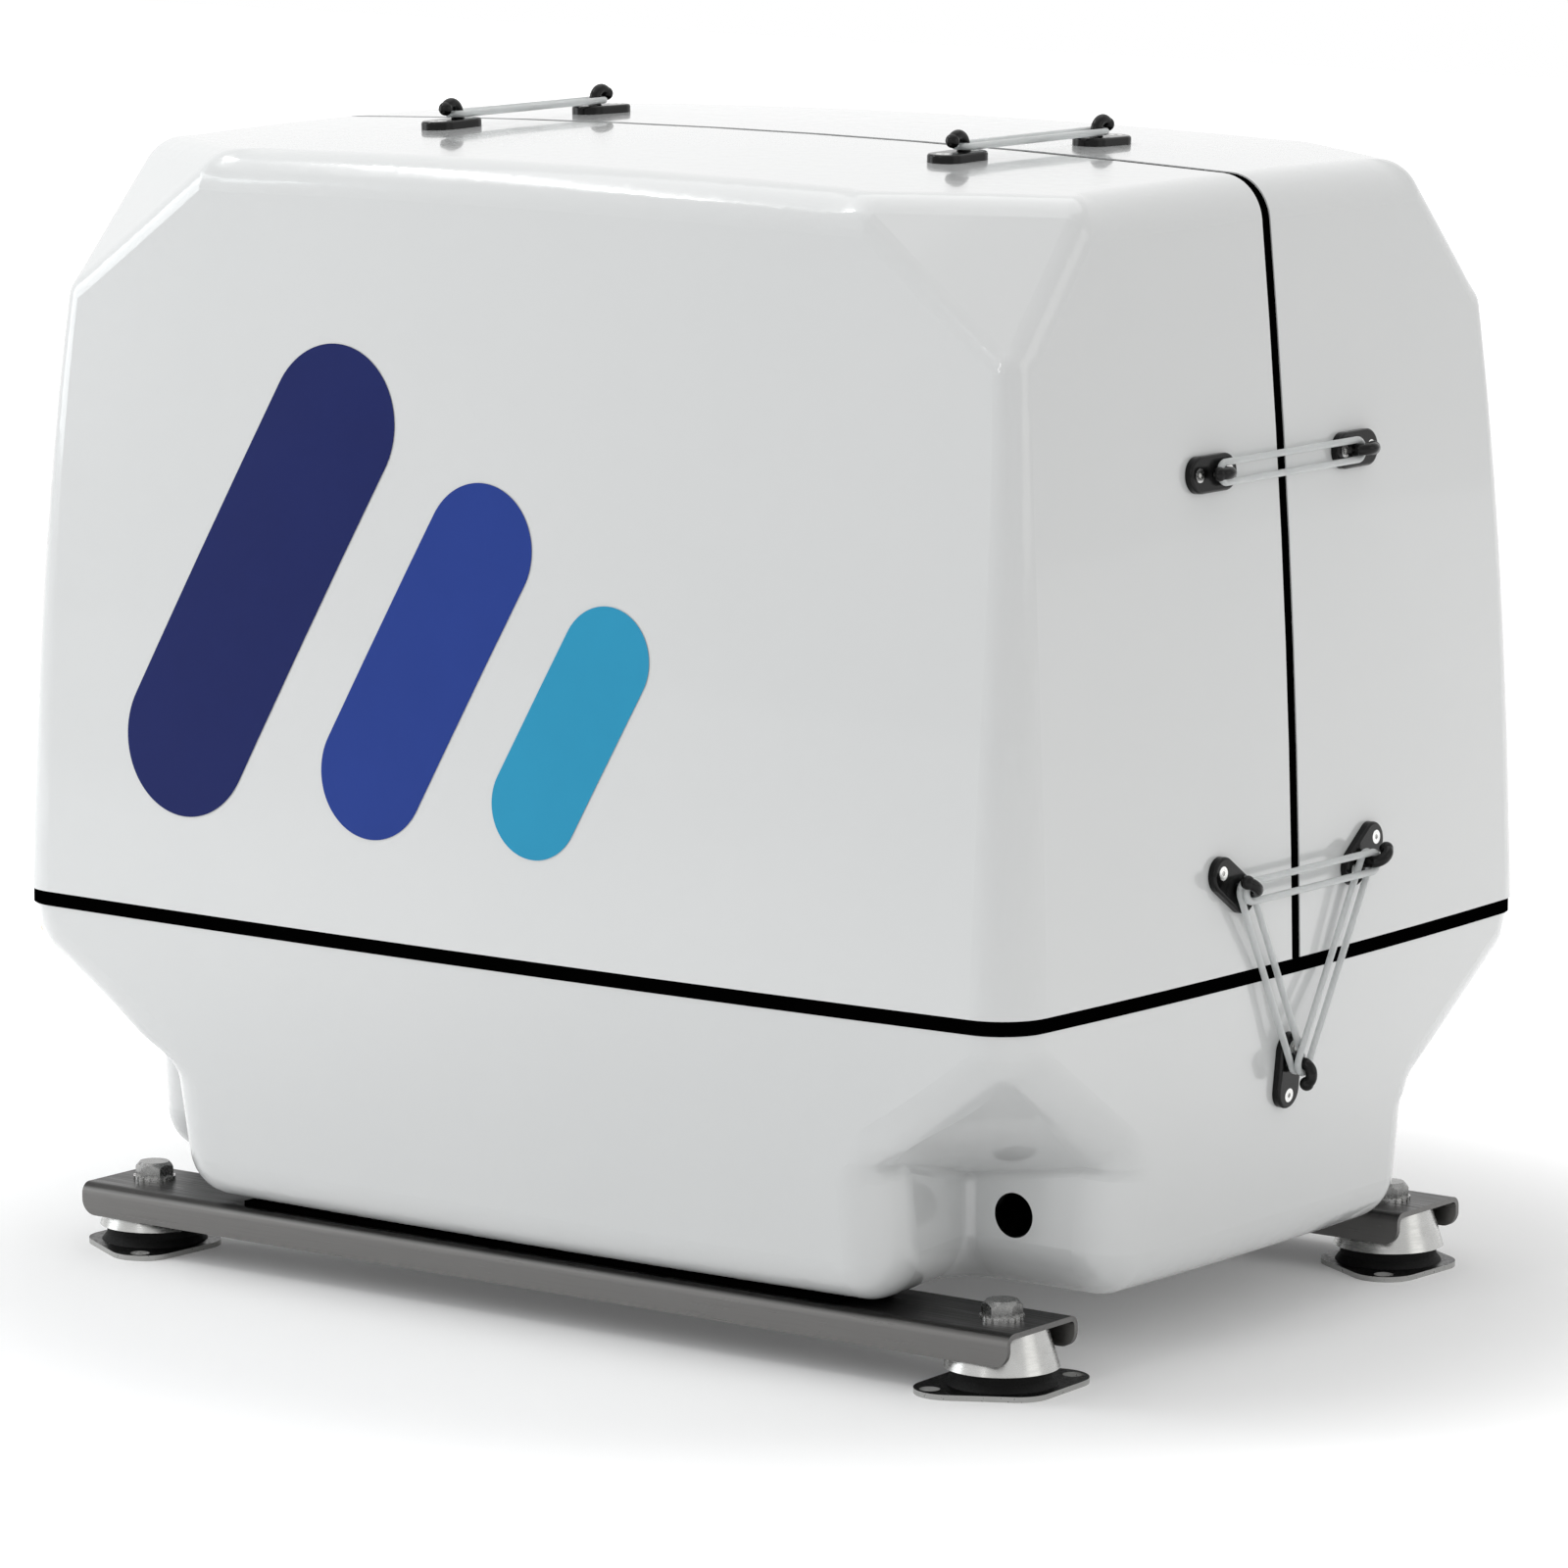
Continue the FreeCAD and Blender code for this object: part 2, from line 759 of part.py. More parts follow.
def mount_plate():
    # a rhombic steel plate with rounded tips, its long way square to the capsule's middle
    tips = [V(plate_long, 0, 0), V(0, plate_short, 0), V(-plate_long, 0, 0), V(0, -plate_short, 0)]
    plate = Part.Face(Part.makePolygon(tips + tips[:1])).extrude(UP * plate_thickness)
    plate = round_edges(plate, plate_corner, is_upright)
    plate.rotate(V(0, 0, 0), UP, plate_angle)
    plate.translate(mount_place())
    for point in floor_hole_points():
        plate = plate.cut(rod(point - UP, point + UP * (plate_thickness + 1), plate_hole_radius))
    return plate


def bell_profile(inset):
    top = rail_top - rail_wall - inset
    return [(0, bell_base_height), (bell_base_radius - inset, bell_base_height),
            (bell_top_radius - inset, top), (0, top)]


def mount_cap():
    # a pressed bell with a tapped crown for the rail bolt
    outer = revolve_up(bell_profile(0))
    cap = outer.cut(revolve_up(bell_profile(bell_wall)))
    boss = rod(V(0, 0, bolt_end_height()), V(0, 0, rail_top - rail_wall - bell_wall), bolt_radius + 4)
    cap = fuse([cap, boss])
    cap = cap.cut(rod(V(0, 0, bolt_end_height() - 1), V(0, 0, rail_top), bolt_radius))
    cap.translate(mount_place())
    return cap


def bolt_end_height():
    return rail_top + washer_height - bolt_length


def revolve_up(points):
    corners = [V(radius, 0, z) for radius, z in points]
    face = Part.Face(Part.makePolygon(corners + corners[:1]))
    return face.revolve(V(0, 0, 0), UP, 360)


def mount_rubber():
    # the rubber block: a waisted foot on the plate that fills the bell
    top = rail_top - rail_wall - bell_wall
    foot = revolve_up([
        (0, plate_thickness), (rubber_radius + 3, plate_thickness), (rubber_radius, plate_thickness + 4),
        (rubber_radius, bell_base_height), (0, bell_base_height),
    ])
    block = fuse([foot, revolve_up(bell_profile(bell_wall))])
    well = rod(V(0, 0, bolt_end_height() - 2), V(0, 0, top + 1), bolt_radius + 4)
    block = block.cut(well)
    block.translate(mount_place())
    return block


def mount_bolt():
    base = rail_top + washer_height
    head = hexagon(V(0, 0, base), UP * 1, bolt_across_flats, bolt_head)
    bevel = Part.makeCone(
        bolt_across_flats * 0.6 + bolt_head, bolt_across_flats * 0.44, bolt_head * 1.6,
        V(0, 0, base - bolt_head * 0.6),
    )
    shank = rod(V(0, 0, bolt_end_height()), V(0, 0, base), bolt_radius)
    bolt = fuse([head.common(bevel), shank])
    bolt.translate(mount_place())
    return bolt


def mount_washer():
    # an external-tooth lock washer
    ring = rod(V(0, 0, rail_top), V(0, 0, rail_top + washer_height), washer_radius)
    notch = box(washer_radius - 1.6, washer_radius + 2, -0.7, 0.7, rail_top - 1, rail_top + 5)
    for tooth in range(washer_teeth):
        cutter = notch.copy()
        cutter.rotate(V(0, 0, 0), UP, 360 / washer_teeth * tooth)
        ring = ring.cut(cutter)
    ring = ring.cut(rod(V(0, 0, 0), V(0, 0, rail_top + 10), bolt_radius))
    ring.translate(mount_place())
    return ring


def tray_bolt(point):
    # a hexagon bolt from the bearer down through tray, pad and rail, with its nut below
    top = tray_bottom + grp_wall + bearer_size[2]
    low = rail_top - rail_wall
    shank = rod(point + UP * (low - 12), point + UP * top, tray_bolt_radius)
    head = hexagon(point + UP * top, UP * 1, 13, 5.3)
    nut = hexagon(point + UP * (low - 6.5), UP * 1, 13, 6.5)
    bore = rod(point + UP * (low - 7), point + UP * (low + 1), tray_bolt_radius)
    return fuse([head, shank]), nut.cut(bore)


# Inner frame

def bearer():
    # the flat bar that clamps the tray's floor to the rail and carries the isolators
    length, width, thick = bearer_size
    floor = tray_bottom + grp_wall
    bar = box(-length / 2, length / 2, -width / 2, width / 2, floor, floor + thick)
    for x in (-tray_bolt_x, tray_bolt_x):
        bar = bar.cut(rod(V(x, 0, floor - 1), V(x, 0, floor + thick + 1), tray_bolt_radius + body_clearance))
    bar.translate(V(0, -rail_spacing / 2, 0))
    return bar


def isolator_top():
    return tray_bottom + grp_wall + bearer_size[2] + isolator_height


def isolator():
    # a waisted rubber buffer between the bearer and an engine foot
    low, high = tray_bottom + grp_wall + bearer_size[2], isolator_top()
    wide, waist = isolator_radius, 0.75 * isolator_radius
    profile = [(0, low), (wide, low), (wide, low + 5), (waist, low + 12)]
    profile += [(waist, high - 12), (wide, high - 5), (wide, high), (0, high)]
    buffer = revolve_up(profile)
    buffer.translate(V(isolator_x, -rail_spacing / 2, 0))
    return buffer


def engine_foot():
    # the angle bracket from the isolator to the block's side, at -X, -Y
    low, x = isolator_top(), -isolator_x
    y_out, y_in = -rail_spacing / 2 - foot_overhang, -block_half_width
    x0, x1 = x - foot_half_length, x + foot_half_length
    shelf = box(x0, x1, y_out, y_in, low, low + foot_thickness)
    cheek = box(x0, x1, y_in - foot_thickness, y_in, low, block_z[0] + 40)
    return round_edges(fuse([shelf, cheek]), 8, lambda edge: is_outer_corner(edge, y_out))


def is_outer_corner(edge, y_out):
    upright = is_upright(edge) and edge.BoundBox.YMax < y_out + 1
    across = edge.BoundBox.YLength > 0.9 * edge.Length and edge.BoundBox.ZMin > block_z[0]
    return upright or across


def alternator_foot():
    low, x = isolator_top(), isolator_x
    y_out, y_in = -rail_spacing / 2 - foot_overhang, -0.5 * alternator_radius
    x0, x1 = x - foot_half_length, x + foot_half_length
    shelf = box(x0, x1, y_out, y_in, low, low + foot_thickness)
    web = box(x0, x1, y_in - foot_thickness, y_in, low, crank_height)
    core = rod(V(0, 0, crank_height), V(2 * x, 0, crank_height), alternator_radius)
    bracket = fuse([shelf, web]).cut(core)
    return round_edges(bracket, 8, lambda edge: is_upright(edge) and edge.BoundBox.YMax < y_out + 1)


# Engine

def engine_block():
    (x0, x1), (z0, z1), y = block_x, block_z, block_half_width
    waist = box(x0, x1, side_relief - y, y - side_relief, z0, z1)
    lower = box(x0, x1, -y, y, z0, z0 + lower_block_height)
    deck = box(x0, x1, -y, y, z1 - deck_height, z1)
    pieces = [waist, lower, deck]
    for share in rib_shares:
        x = x0 + share * (x1 - x0)
        rib = box(x - rib_width / 2, x + rib_width / 2, y - side_relief, y, z0, z1)
        pieces.append(rib)
    return fuse(pieces)


def oil_pan():
    (x0, x1), z1 = block_x, block_z[0]
    low, y = z1 - pan_depth, block_half_width - 8
    lip = box(x0 + 4, x1 - 4, -y, y, z1 - lip_height, z1)
    sump = box(x0 + 14, x1 - 14, -y + 10, y - 10, low, z1 - 5)
    sump = round_edges(sump, 16, lambda edge: is_upright(edge) or is_level_at(edge, low))
    plug = hexagon(V((x0 + x1) / 2, -y + 10, low + 24), V(0, -1, 0), 17, 8)
    return fuse([lip, sump, plug])


def timing_cover():
    x1 = block_x[0]
    x0 = x1 - timing_depth
    y, z0, z1 = block_half_width - 4, block_z[0], block_z[1] - 4
    cover = box(x0, x1, -y, y, z0, z1)
    cover = round_edges(cover, 34, lambda edge: edge.BoundBox.XLength > timing_depth - 1)
    cover = round_edges(cover, 6, lambda edge: edge.BoundBox.XMax < x0 + 1)
    nose = V(x0 - 1, 0, crank_height)
    return cover.cut(rod(nose, nose + V(timing_depth - 2, 0, 0), crank_nose_radius + running_clearance))


def cylinder_head():
    (x0, x1), z0 = block_x, block_z[1]
    y = block_half_width - head_inset
    depth, width = head_groove
    head = box(x0 + 3, x1 - 3, -y, y, z0, z0 + head_height)
    head = round_edges(head, 8, is_upright)
    for share in (0.3, 0.7):
        middle_z = z0 + share * head_height
        groove = box(x0, x1, -y - 1, -y + depth, middle_z - width / 2, middle_z + width / 2)
        head = head.cut(groove).cut(mirrored(groove, V(0, 1, 0)))
    return head


def rocker_cover():
    (x0, x1), z0 = block_x, block_z[1] + head_height
    y, lip_top = 0.58 * block_half_width, z0 + lip_height
    cover = box(x0 + 18, x1 - 18, -y, y, lip_top, z0 + rocker_height)
    cover = round_edges(cover, 14, lambda edge: edge.BoundBox.ZMax > lip_top + 1)
    lip = box(x0 + 10, x1 - 10, -y - 8, y + 8, z0, lip_top)
    return fuse([cover, round_edges(lip, 12, is_upright)])


def oil_cap():
    radius, height = oil_cap_size
    x, z = block_x[0] + 70, block_z[1] + head_height + rocker_height
    cap = rod(V(x, 0, z), V(x, 0, z + height), radius)
    grip = rod(V(x + radius + 4, 0, z + 5), V(x + radius + 4, 0, z + height + 1), 6)
    for turn in range(oil_cap_grips):
        cutter = grip.copy()
        cutter.rotate(V(x, 0, 0), UP, 360 / oil_cap_grips * turn)
        cap = cap.cut(cutter)
    return cap


def lifting_eye():
    x, z = (block_x[0] + block_x[1]) / 2, block_z[1] + head_height
    y = 0.58 * block_half_width + 10
    plate = box(x - 3, x + 3, y, y + 20, z, z + 82)
    plate = round_edges(plate, 9, lambda edge: edge.BoundBox.XLength > 5 and edge.BoundBox.ZMin > z + 80)
    eye = V(x, y + 10, z + 68)
    return plate.cut(rod(eye - V(9, 0, 0), eye + V(9, 0, 0), 5))


def exchanger_axis(x):
    return V(x, block_half_width + exchanger_radius + 8, block_z[1] + 0.5 * head_height)


def heat_exchanger():
    # the water-cooled exhaust manifold, with two legs to the head and a filler neck
    shell = rod(exchanger_axis(block_x[0] + 10), exchanger_axis(block_x[1] + 20), exchanger_radius)
    centre = exchanger_axis(0)
    face = block_half_width - head_inset
    pieces = [shell]
    for x in (block_x[0] + 70, block_x[1] - 60):
        for (length, height), y_out in ((manifold_leg_size, centre.y), (manifold_flange_size, face + 8)):
            low, high = centre.z - height / 2, centre.z + height / 2
            pieces.append(box(x - length / 2, x + length / 2, face, y_out, low, high))
    neck = exchanger_axis(block_x[1] - 60)
    rim = neck + UP * (exchanger_radius + filler_size[1])
    pieces.append(rod(neck, rim, filler_size[0]))
    pieces.append(rod(rim, rim + UP * filler_cap_size[1], filler_cap_size[0]))
    return fuse(pieces)


def exchanger_cap(start, direction):
    cap = rod(start, start + direction * 8, exchanger_radius + 4)
    bolt = hexagon(start + direction * 8, direction, 13, 6)
    return fuse([cap, bolt])


def mixing_elbow():
    # the wet exhaust elbow, down to a ribbed hose tail
    start = exchanger_axis(block_x[1] + 20)
    bend, radius = elbow_bend, elbow_radius
    flange = rod(start, start + V(8, 0, 0), exchanger_radius + 2)
    turn_start = start + V(elbow_run, 0, 0)
    run = rod(start + V(8, 0, 0), turn_start, radius)
    ring = Part.makeTorus(bend, radius, turn_start - UP * bend, V(0, 1, 0))
    x, y, low = turn_start.x, turn_start.y, turn_start.z - bend
    turn = ring.common(box(x, x + 2 * bend, y - bend, y + bend, low, low + 3 * bend))
    down = V(x + bend, y, low)
    tail = rod(down, down - UP * elbow_tail, radius)
    ribs = [rod(down - UP * drop, down - UP * (drop + 3), radius + 2) for drop in (26, 38)]
    return fuse([flange, run, turn, tail] + ribs)


def air_silencer():
    length, depth, height = silencer_size
    duct_length, duct_height = duct_size
    x0, z0 = block_x[0] + 8, block_z[1] + head_height + 14
    y1 = -block_half_width - 8
    drum = box(x0, x0 + length, y1 - depth, y1, z0, z0 + height)
    drum = round_edges(drum, 20, lambda edge: True)
    mouth = V(x0 - 16, y1 - 50, z0 + height / 2 - 1)
    mouth = rod(mouth, mouth + V(20, 0, 0), silencer_mouth_radius)
    head_face = head_inset - block_half_width
    port_z = block_z[1] + 0.5 * head_height
    low, high = port_z - duct_height / 2, port_z + duct_height / 2
    duct_x = x0 + length - 8 - duct_length
    duct = box(duct_x, duct_x + duct_length, y1 - 40, head_face, low, high)
    riser = box(duct_x, duct_x + duct_length, y1 - 40, y1 - 8, low, z0 + 10)
    return fuse([drum, mouth, duct, riser])


def injection_pump():
    length, depth, height = injection_case
    x0, low, face = block_x[0] + 40, injection_case_z, side_relief - block_half_width
    body = box(x0, x0 + length, face - depth, face, low, low + height)
    body = round_edges(body, 6, lambda edge: edge.BoundBox.YMax < face - 1)
    radius, rise = union_size
    unions = [rod(point - UP * rise, point, radius) for point in injector_ports()]
    lever = box(x0 + 30, x0 + 46, face - depth - 8, face - depth + 1, low + 13, low + 49)
    return fuse([body, lever] + unions)


def injector_ports():
    x0, y = block_x[0] + 40, side_relief - block_half_width - 30
    top = injection_case_z + injection_case[2] + 12
    return [V(x0 + 20, y, top), V(x0 + 52, y, top)]


def fuel_filter():
    radius, height = fuel_bowl_size
    x, y = block_x[1] - 72, -block_half_width - 40
    low, high = fuel_bowl_z, fuel_bowl_z + height
    bowl = rod(V(x, y, low), V(x, y, high), radius)
    bowl = round_edges(bowl, 8, lambda edge: is_level_at(edge, low))
    crown = rod(V(x, y, high), V(x, y, high + fuel_crown_size[1]), fuel_crown_size[0])
    arm = box(x - 22, x + 22, y, side_relief - block_half_width, high + 4, high + 18)
    return fuse([bowl, crown, arm])


def oil_filter():
    radius, length = oil_filter_size
    start = V(block_x[1] - 55, -block_half_width, oil_filter_z)
    neck_end = start - V(0, oil_filter_neck[1], 0)
    canister = rod(neck_end, neck_end - V(0, length, 0), radius)
    canister = round_edges(canister, 8, lambda edge: edge.BoundBox.YMax < neck_end.y - length + 4)
    return fuse([canister, rod(start, neck_end, oil_filter_neck[0])])


def starter_motor():
    radius, length = starter_size
    coil_radius, coil_length = coil_size
    centre = V(block_x[1], block_half_width + radius + 3, crank_height - 15)
    body = rod(centre - V(length, 0, 0), centre, radius)
    flange = rod(centre - V(7, 0, 0), centre, radius + 2.5)
    coil_start = centre + V(*coil_offset)
    coil_end = coil_start - V(coil_length, 0, 0)
    coil = rod(coil_end, coil_start, coil_radius)
    bridge = rod(centre - V(length / 2 + 1, 0, 0), coil_start + V(coil_offset[0], 0, 0), 8)
    terminal = rod(coil_end - V(8, 0, 0), coil_end, 5)
    return fuse([body, flange, coil, bridge, terminal])


def dipstick():
    # a guide tube from the block with a ring handle on top
    boss = V(block_x[0] + 30, block_half_width, block_z[0] + 26)
    foot = boss + V(0, 10, 0)
    top = V(foot.x, foot.y + 8, block_z[1] - 30)
    ring = Part.makeTorus(10, 2.5, top + UP * 10, V(1, 0, 0))
    return fuse([rod(boss, foot + V(0, 4, 0), 8), rod(foot, top, 4), ring])


def housing_x():
    return block_x[1], block_x[1] + housing_length


def flywheel_housing():
    x0, x1 = housing_x()
    axis = V(x0, 0, crank_height)
    reach, rim = housing_length, housing_radius
    profile = [(0, 0), (0, rim - 6), (16, rim), (reach - 12, rim)]
    profile += [(reach - 12, rim - 8), (reach, rim - 8), (reach, 0)]
    return revolve(profile, axis, V(1, 0, 0))


def housing_bolts():
    x1 = housing_x()[1]
    bolts = []
    for turn in range(12):
        angle = math.radians(15 + 30 * turn)
        arm = V(0, math.cos(angle), math.sin(angle)) * (alternator_radius + 9)
        start = V(x1, 0, crank_height) + arm
        bolts.append(hexagon(start, V(1, 0, 0), 11, 6))
    return bolts


def alternator_body():
    # a finned stator housing between the flywheel housing and the end bell
    x0 = housing_x()[1]
    x1 = x0 + alternator_length
    radius = alternator_radius
    core = rod(V(x0, 0, crank_height), V(x1, 0, crank_height), radius - 7)
    belly_start = V(isolator_x - belly_half, 0, crank_height)
    belly = rod(belly_start, belly_start + V(2 * belly_half, 0, 0), radius)
    fins = []
    for turn in range(alternator_fins):
        fin = box(x0 + 14, x1 - 6, -fin_width / 2, fin_width / 2, radius - 12, radius)
        fin.rotate(V(0, 0, 0), V(1, 0, 0), 360 / alternator_fins * turn)
        fin.translate(UP * crank_height)
        fins.append(fin)
    return fuse([core, belly] + fins)


def end_bell():
    # the bearing shield, with a ring of cooling slots
    x0 = housing_x()[1] + alternator_length
    rim, reach = alternator_radius - 3, end_bell_length
    profile = [(0, rim - 10), (0, rim), (12, rim), (reach - 10, rim - 18), (reach, rim - 34)]
    profile += [(reach, 0), (reach - 6, 0), (reach - 6, rim - 40), (10, rim - 10)]
    shield = revolve(profile, V(x0, 0, crank_height), V(1, 0, 0))
    slots = []
    for turn in range(shield_slots):
        slot = box(x0 + reach - 12, x0 + reach + 1, -6, 6, 30, 58)
        slot.rotate(V(0, 0, 0), V(1, 0, 0), 360 / shield_slots * turn)
        slot.translate(UP * crank_height)
        slots.append(slot)
    hub = rod(V(x0 + reach - 8, 0, crank_height), V(x0 + reach + 6, 0, crank_height), 20)
    return fuse([shield.cut(group(slots)), hub])


def control_frame():
    x0 = housing_x()[1] + 22
    return x0, x0 + control_size[0], crank_height + alternator_radius + control_gap


def control_box():
    x0, x1, z0 = control_frame()
    y = control_size[1] / 2
    case = box(x0, x1, -y, y, z0, z0 + control_size[2])
    case = round_edges(case, 10, lambda edge: edge.BoundBox.YMin < y - 1)
    glands = []
    for offset in gland_offsets:
        start = V(x1, offset, z0 + 30)
        glands.append(hexagon(start, V(1, 0, 0), 22, 8))
        glands.append(rod(start, start + V(20, 0, 0), 8))
    return fuse([case] + glands)


def control_lid():
    x0, x1, z0 = control_frame()
    inner = -control_size[1] / 2
    outer = inner - lid_thickness
    top = z0 + control_size[2] - lid_margin
    lid = box(x0 + lid_margin, x1 - lid_margin, outer, inner, z0 + lid_margin, top)
    lid = round_edges(lid, 8, lambda edge: edge.BoundBox.YLength > 0.8 * lid_thickness)
    knob = V(x1 - 50, outer, z0 + control_size[2] / 2 + 2)
    return fuse([lid, rod(knob, knob - V(0, 12, 0), 14)])


def control_bracket():
    # two saddle plates from the alternator up to the control box
    z0 = control_frame()[2]
    saddles = []
    for x in (isolator_x - 22, isolator_x + 16):
        saddle = box(x, x + saddle_thickness, -66, 66, crank_height + 60, z0)
        start = V(x - 1, 0, crank_height)
        core = rod(start, start + V(saddle_thickness + 2, 0, 0), alternator_radius)
        saddles.append(saddle.cut(core))
    return saddles


# Pulleys, belt and water pump

def pulley_x():
    start = block_x[0] - timing_depth - 7
    return start - pulley_width, start


def pulley(centre, radius, shaft_radius, shaft_end):
    # a V-grooved pulley with a dished web, and its shaft
    x0, x1 = pulley_x()
    half = belt_width / 2 + running_clearance + 1.5
    mid = pulley_width / 2
    profile = [
        (0, 0), (0, shaft_radius + 8), (4, shaft_radius + 8), (4, radius - groove_depth - 7),
        (0, radius - groove_depth - 7), (0, radius), (mid - half - 1.5, radius),
        (mid - half + 1.5, radius - groove_depth), (mid + half - 1.5, radius - groove_depth),
        (mid + half + 1.5, radius), (pulley_width, radius), (pulley_width, 0),
    ]
    wheel = revolve(profile, V(x0, centre.y, centre.z), V(1, 0, 0))
    shaft = rod(V(x1 - 1, centre.y, centre.z), V(shaft_end, centre.y, centre.z), shaft_radius)
    bolt = hexagon(V(x0, centre.y, centre.z), V(-1, 0, 0), 17, 8)
    key = V(x0 - 5, centre.y, centre.z + shaft_radius + 3)
    dowel = rod(key, key + V(6, 0, 0), 2.5)
    return fuse([wheel, shaft, bolt, dowel])


def crank_centre():
    return V(0, 0, crank_height)


def pump_centre():
    return V(0, pump_y, pump_z)


def crank_pulley():
    end = block_x[0] - 4
    return pulley(crank_centre(), crank_pulley_radius, crank_nose_radius, end)


def pump_pulley():
    return pulley(pump_centre(), pump_pulley_radius, pump_shaft_radius, pulley_x()[1] + 16)


def belt_loop(offset):
    # the outline round both pulleys at this distance outside their grooves' floors
    a, b = crank_centre(), pump_centre()
    radius_a = crank_pulley_radius - groove_depth + offset
    radius_b = pump_pulley_radius - groove_depth + offset
    along = b - a
    heading = math.atan2(along.z, along.y)
    lean = math.acos((radius_a - radius_b) / along.Length)

    def rim(centre, radius, angle):
        return centre + V(0, math.cos(angle), math.sin(angle)) * radius

    a1, a2 = rim(a, radius_a, heading + lean), rim(a, radius_a, heading - lean)
    b1, b2 = rim(b, radius_b, heading + lean), rim(b, radius_b, heading - lean)
    far_a, far_b = rim(a, radius_a, heading + math.pi), rim(b, radius_b, heading)
    return Part.Wire([
        Part.Arc(a1, far_a, a2).toShape(),
        Part.LineSegment(a2, b2).toShape(),
        Part.Arc(b2, far_b, b1).toShape(),
        Part.LineSegment(b1, a1).toShape(),
    ])


def drive_belt():
    width = V(belt_width, 0, 0)
    outer = Part.Face(belt_loop(running_clearance + belt_thickness)).extrude(width)
    inner = Part.Face(belt_loop(running_clearance)).extrude(width)
    belt = outer.cut(inner)
    belt.translate(V(sum(pulley_x()) / 2 - width.x / 2, 0, 0))
    return belt


def seawater_pump():
    centre = pump_centre()
    radius, length = pump_body_size
    front = V(pulley_x()[1] + 6, centre.y, centre.z)
    back = front + V(length, 0, 0)
    body = rod(front, back, radius)
    plate = rod(back, back + V(pump_cover_size[1], 0, 0), pump_cover_size[0])
    bore = rod(front - V(1, 0, 0), front + V(13, 0, 0), pump_shaft_radius + running_clearance)
    wall = side_relief - block_half_width
    foot = box(block_x[0] + 4, back.x, centre.y, wall, centre.z - 20, centre.z + 20)
    ports = [rod(V(end.x, centre.y, centre.z), end, pump_port_size[0]) for end in pump_ports()]
    return fuse([body, plate, foot] + ports).cut(bore)


def pump_ports():
    middle_port = pump_centre() + V(pulley_x()[1] + 46, 0, 0)
    return [middle_port + UP * pump_port_size[1], middle_port - UP * pump_port_size[1]]


def injectors():
    # one for each cylinder, clamped in the head beside the rocker cover
    radius, height = injector_size
    base, y = block_z[1] + head_height, -(block_half_width - 18)
    pieces = []
    for x in (block_x[0] + 60, block_x[1] - 60):
        top = V(x, y, base + height)
        pieces.append(fuse([rod(top - UP * height, top, radius), hexagon(top, UP * 1, 14, 8)]))
    return pieces


def both_sides(shapes):
    return shapes + [mirrored(shape, V(0, 1, 0)) for shape in shapes]


def all_corners(shape):
    return group(four_corners(shape))


def build_nodes():
    front_cover, front_foam = cover_half(), foam_half()
    front_hooks = group(both_ends(cover_hooks()))
    cover_screws = both_ends(placed(hook_screws(), front_seats()))
    front_lower, rear_lower = lower_bands()
    bolts, nuts = zip(*[tray_bolt(point) for point in tray_bolt_points()])
    cap_start = exchanger_axis(block_x[0] + 10)
    return {
        "front_cover": front_cover,
        "rear_cover": mirrored(front_cover, V(0, 1, 0)),
        "front_foam": front_foam,
        "rear_foam": mirrored(front_foam, V(0, 1, 0)),
        "middle_seal": middle_seal(),
        "base_tray": base_tray(),
        "tray_gasket": rim_gasket(),
        "floor_foam": floor_foam(),
        "hose_barb": hose_barb(),
        "front_hooks": front_hooks,
        "rear_hooks": mirrored(front_hooks, V(0, 1, 0)),
        "base_hooks": group(both_ends(placed([hook(double_post)], [base_seat()]))),
        "front_hook_screws": group(cover_screws),
        "rear_hook_screws": mirrored(group(cover_screws), V(0, 1, 0)),
        "base_hook_screws": group(both_ends(placed(hook_screws(), [base_seat()]))),
        "cross_bands": group(cross_bands()),
        "front_lower_bands": group(front_lower),
        "rear_lower_bands": group(rear_lower),
        "front_rail": rail(),
        "rear_rail": mirrored(rail(), V(0, 1, 0)),
        "rail_pads": group(both_sides([rail_pad()])),
        "mount_plates": all_corners(mount_plate()),
        "mount_rubbers": all_corners(mount_rubber()),
        "mount_caps": all_corners(mount_cap()),
        "mount_bolts": all_corners(mount_bolt()),
        "mount_washers": all_corners(mount_washer()),
        "tray_bolts": group(bolts),
        "tray_nuts": group(nuts),
        "bearers": group(both_sides([bearer()])),
        "isolators": all_corners(isolator()),
        "engine_feet": group(both_sides([engine_foot()])),
        "alternator_feet": group(both_sides([alternator_foot()])),
        "engine_block": engine_block(),
        "oil_pan": oil_pan(),
        "timing_cover": timing_cover(),
        "cylinder_head": cylinder_head(),
        "rocker_cover": rocker_cover(),
        "oil_cap": oil_cap(),
        "lifting_eye": lifting_eye(),
        "heat_exchanger": heat_exchanger(),
        "exchanger_cap": exchanger_cap(cap_start, V(-1, 0, 0)),
        "mixing_elbow": mixing_elbow(),
        "air_silencer": air_silencer(),
        "injection_pump": injection_pump(),
        "injectors": group(injectors()),
        "fuel_filter": fuel_filter(),
        "oil_filter": oil_filter(),
        "starter_motor": starter_motor(),
        "dipstick": dipstick(),
        "flywheel_housing": flywheel_housing(),
        "housing_bolts": group(housing_bolts()),
        "alternator": alternator_body(),
        "end_bell": end_bell(),
        "control_bracket": group(control_bracket()),
        "control_box": control_box(),
        "control_lid": control_lid(),
        "crank_pulley": crank_pulley(),
        "pump_pulley": pump_pulley(),
        "drive_belt": drive_belt(),
        "seawater_pump": seawater_pump(),
    }


os.makedirs("parts", exist_ok=True)
for name, shape in build_nodes().items():
    shape.exportStep("parts/" + name + ".step")
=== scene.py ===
import math
import bpy
import numpy as np
from mathutils import Matrix, Vector


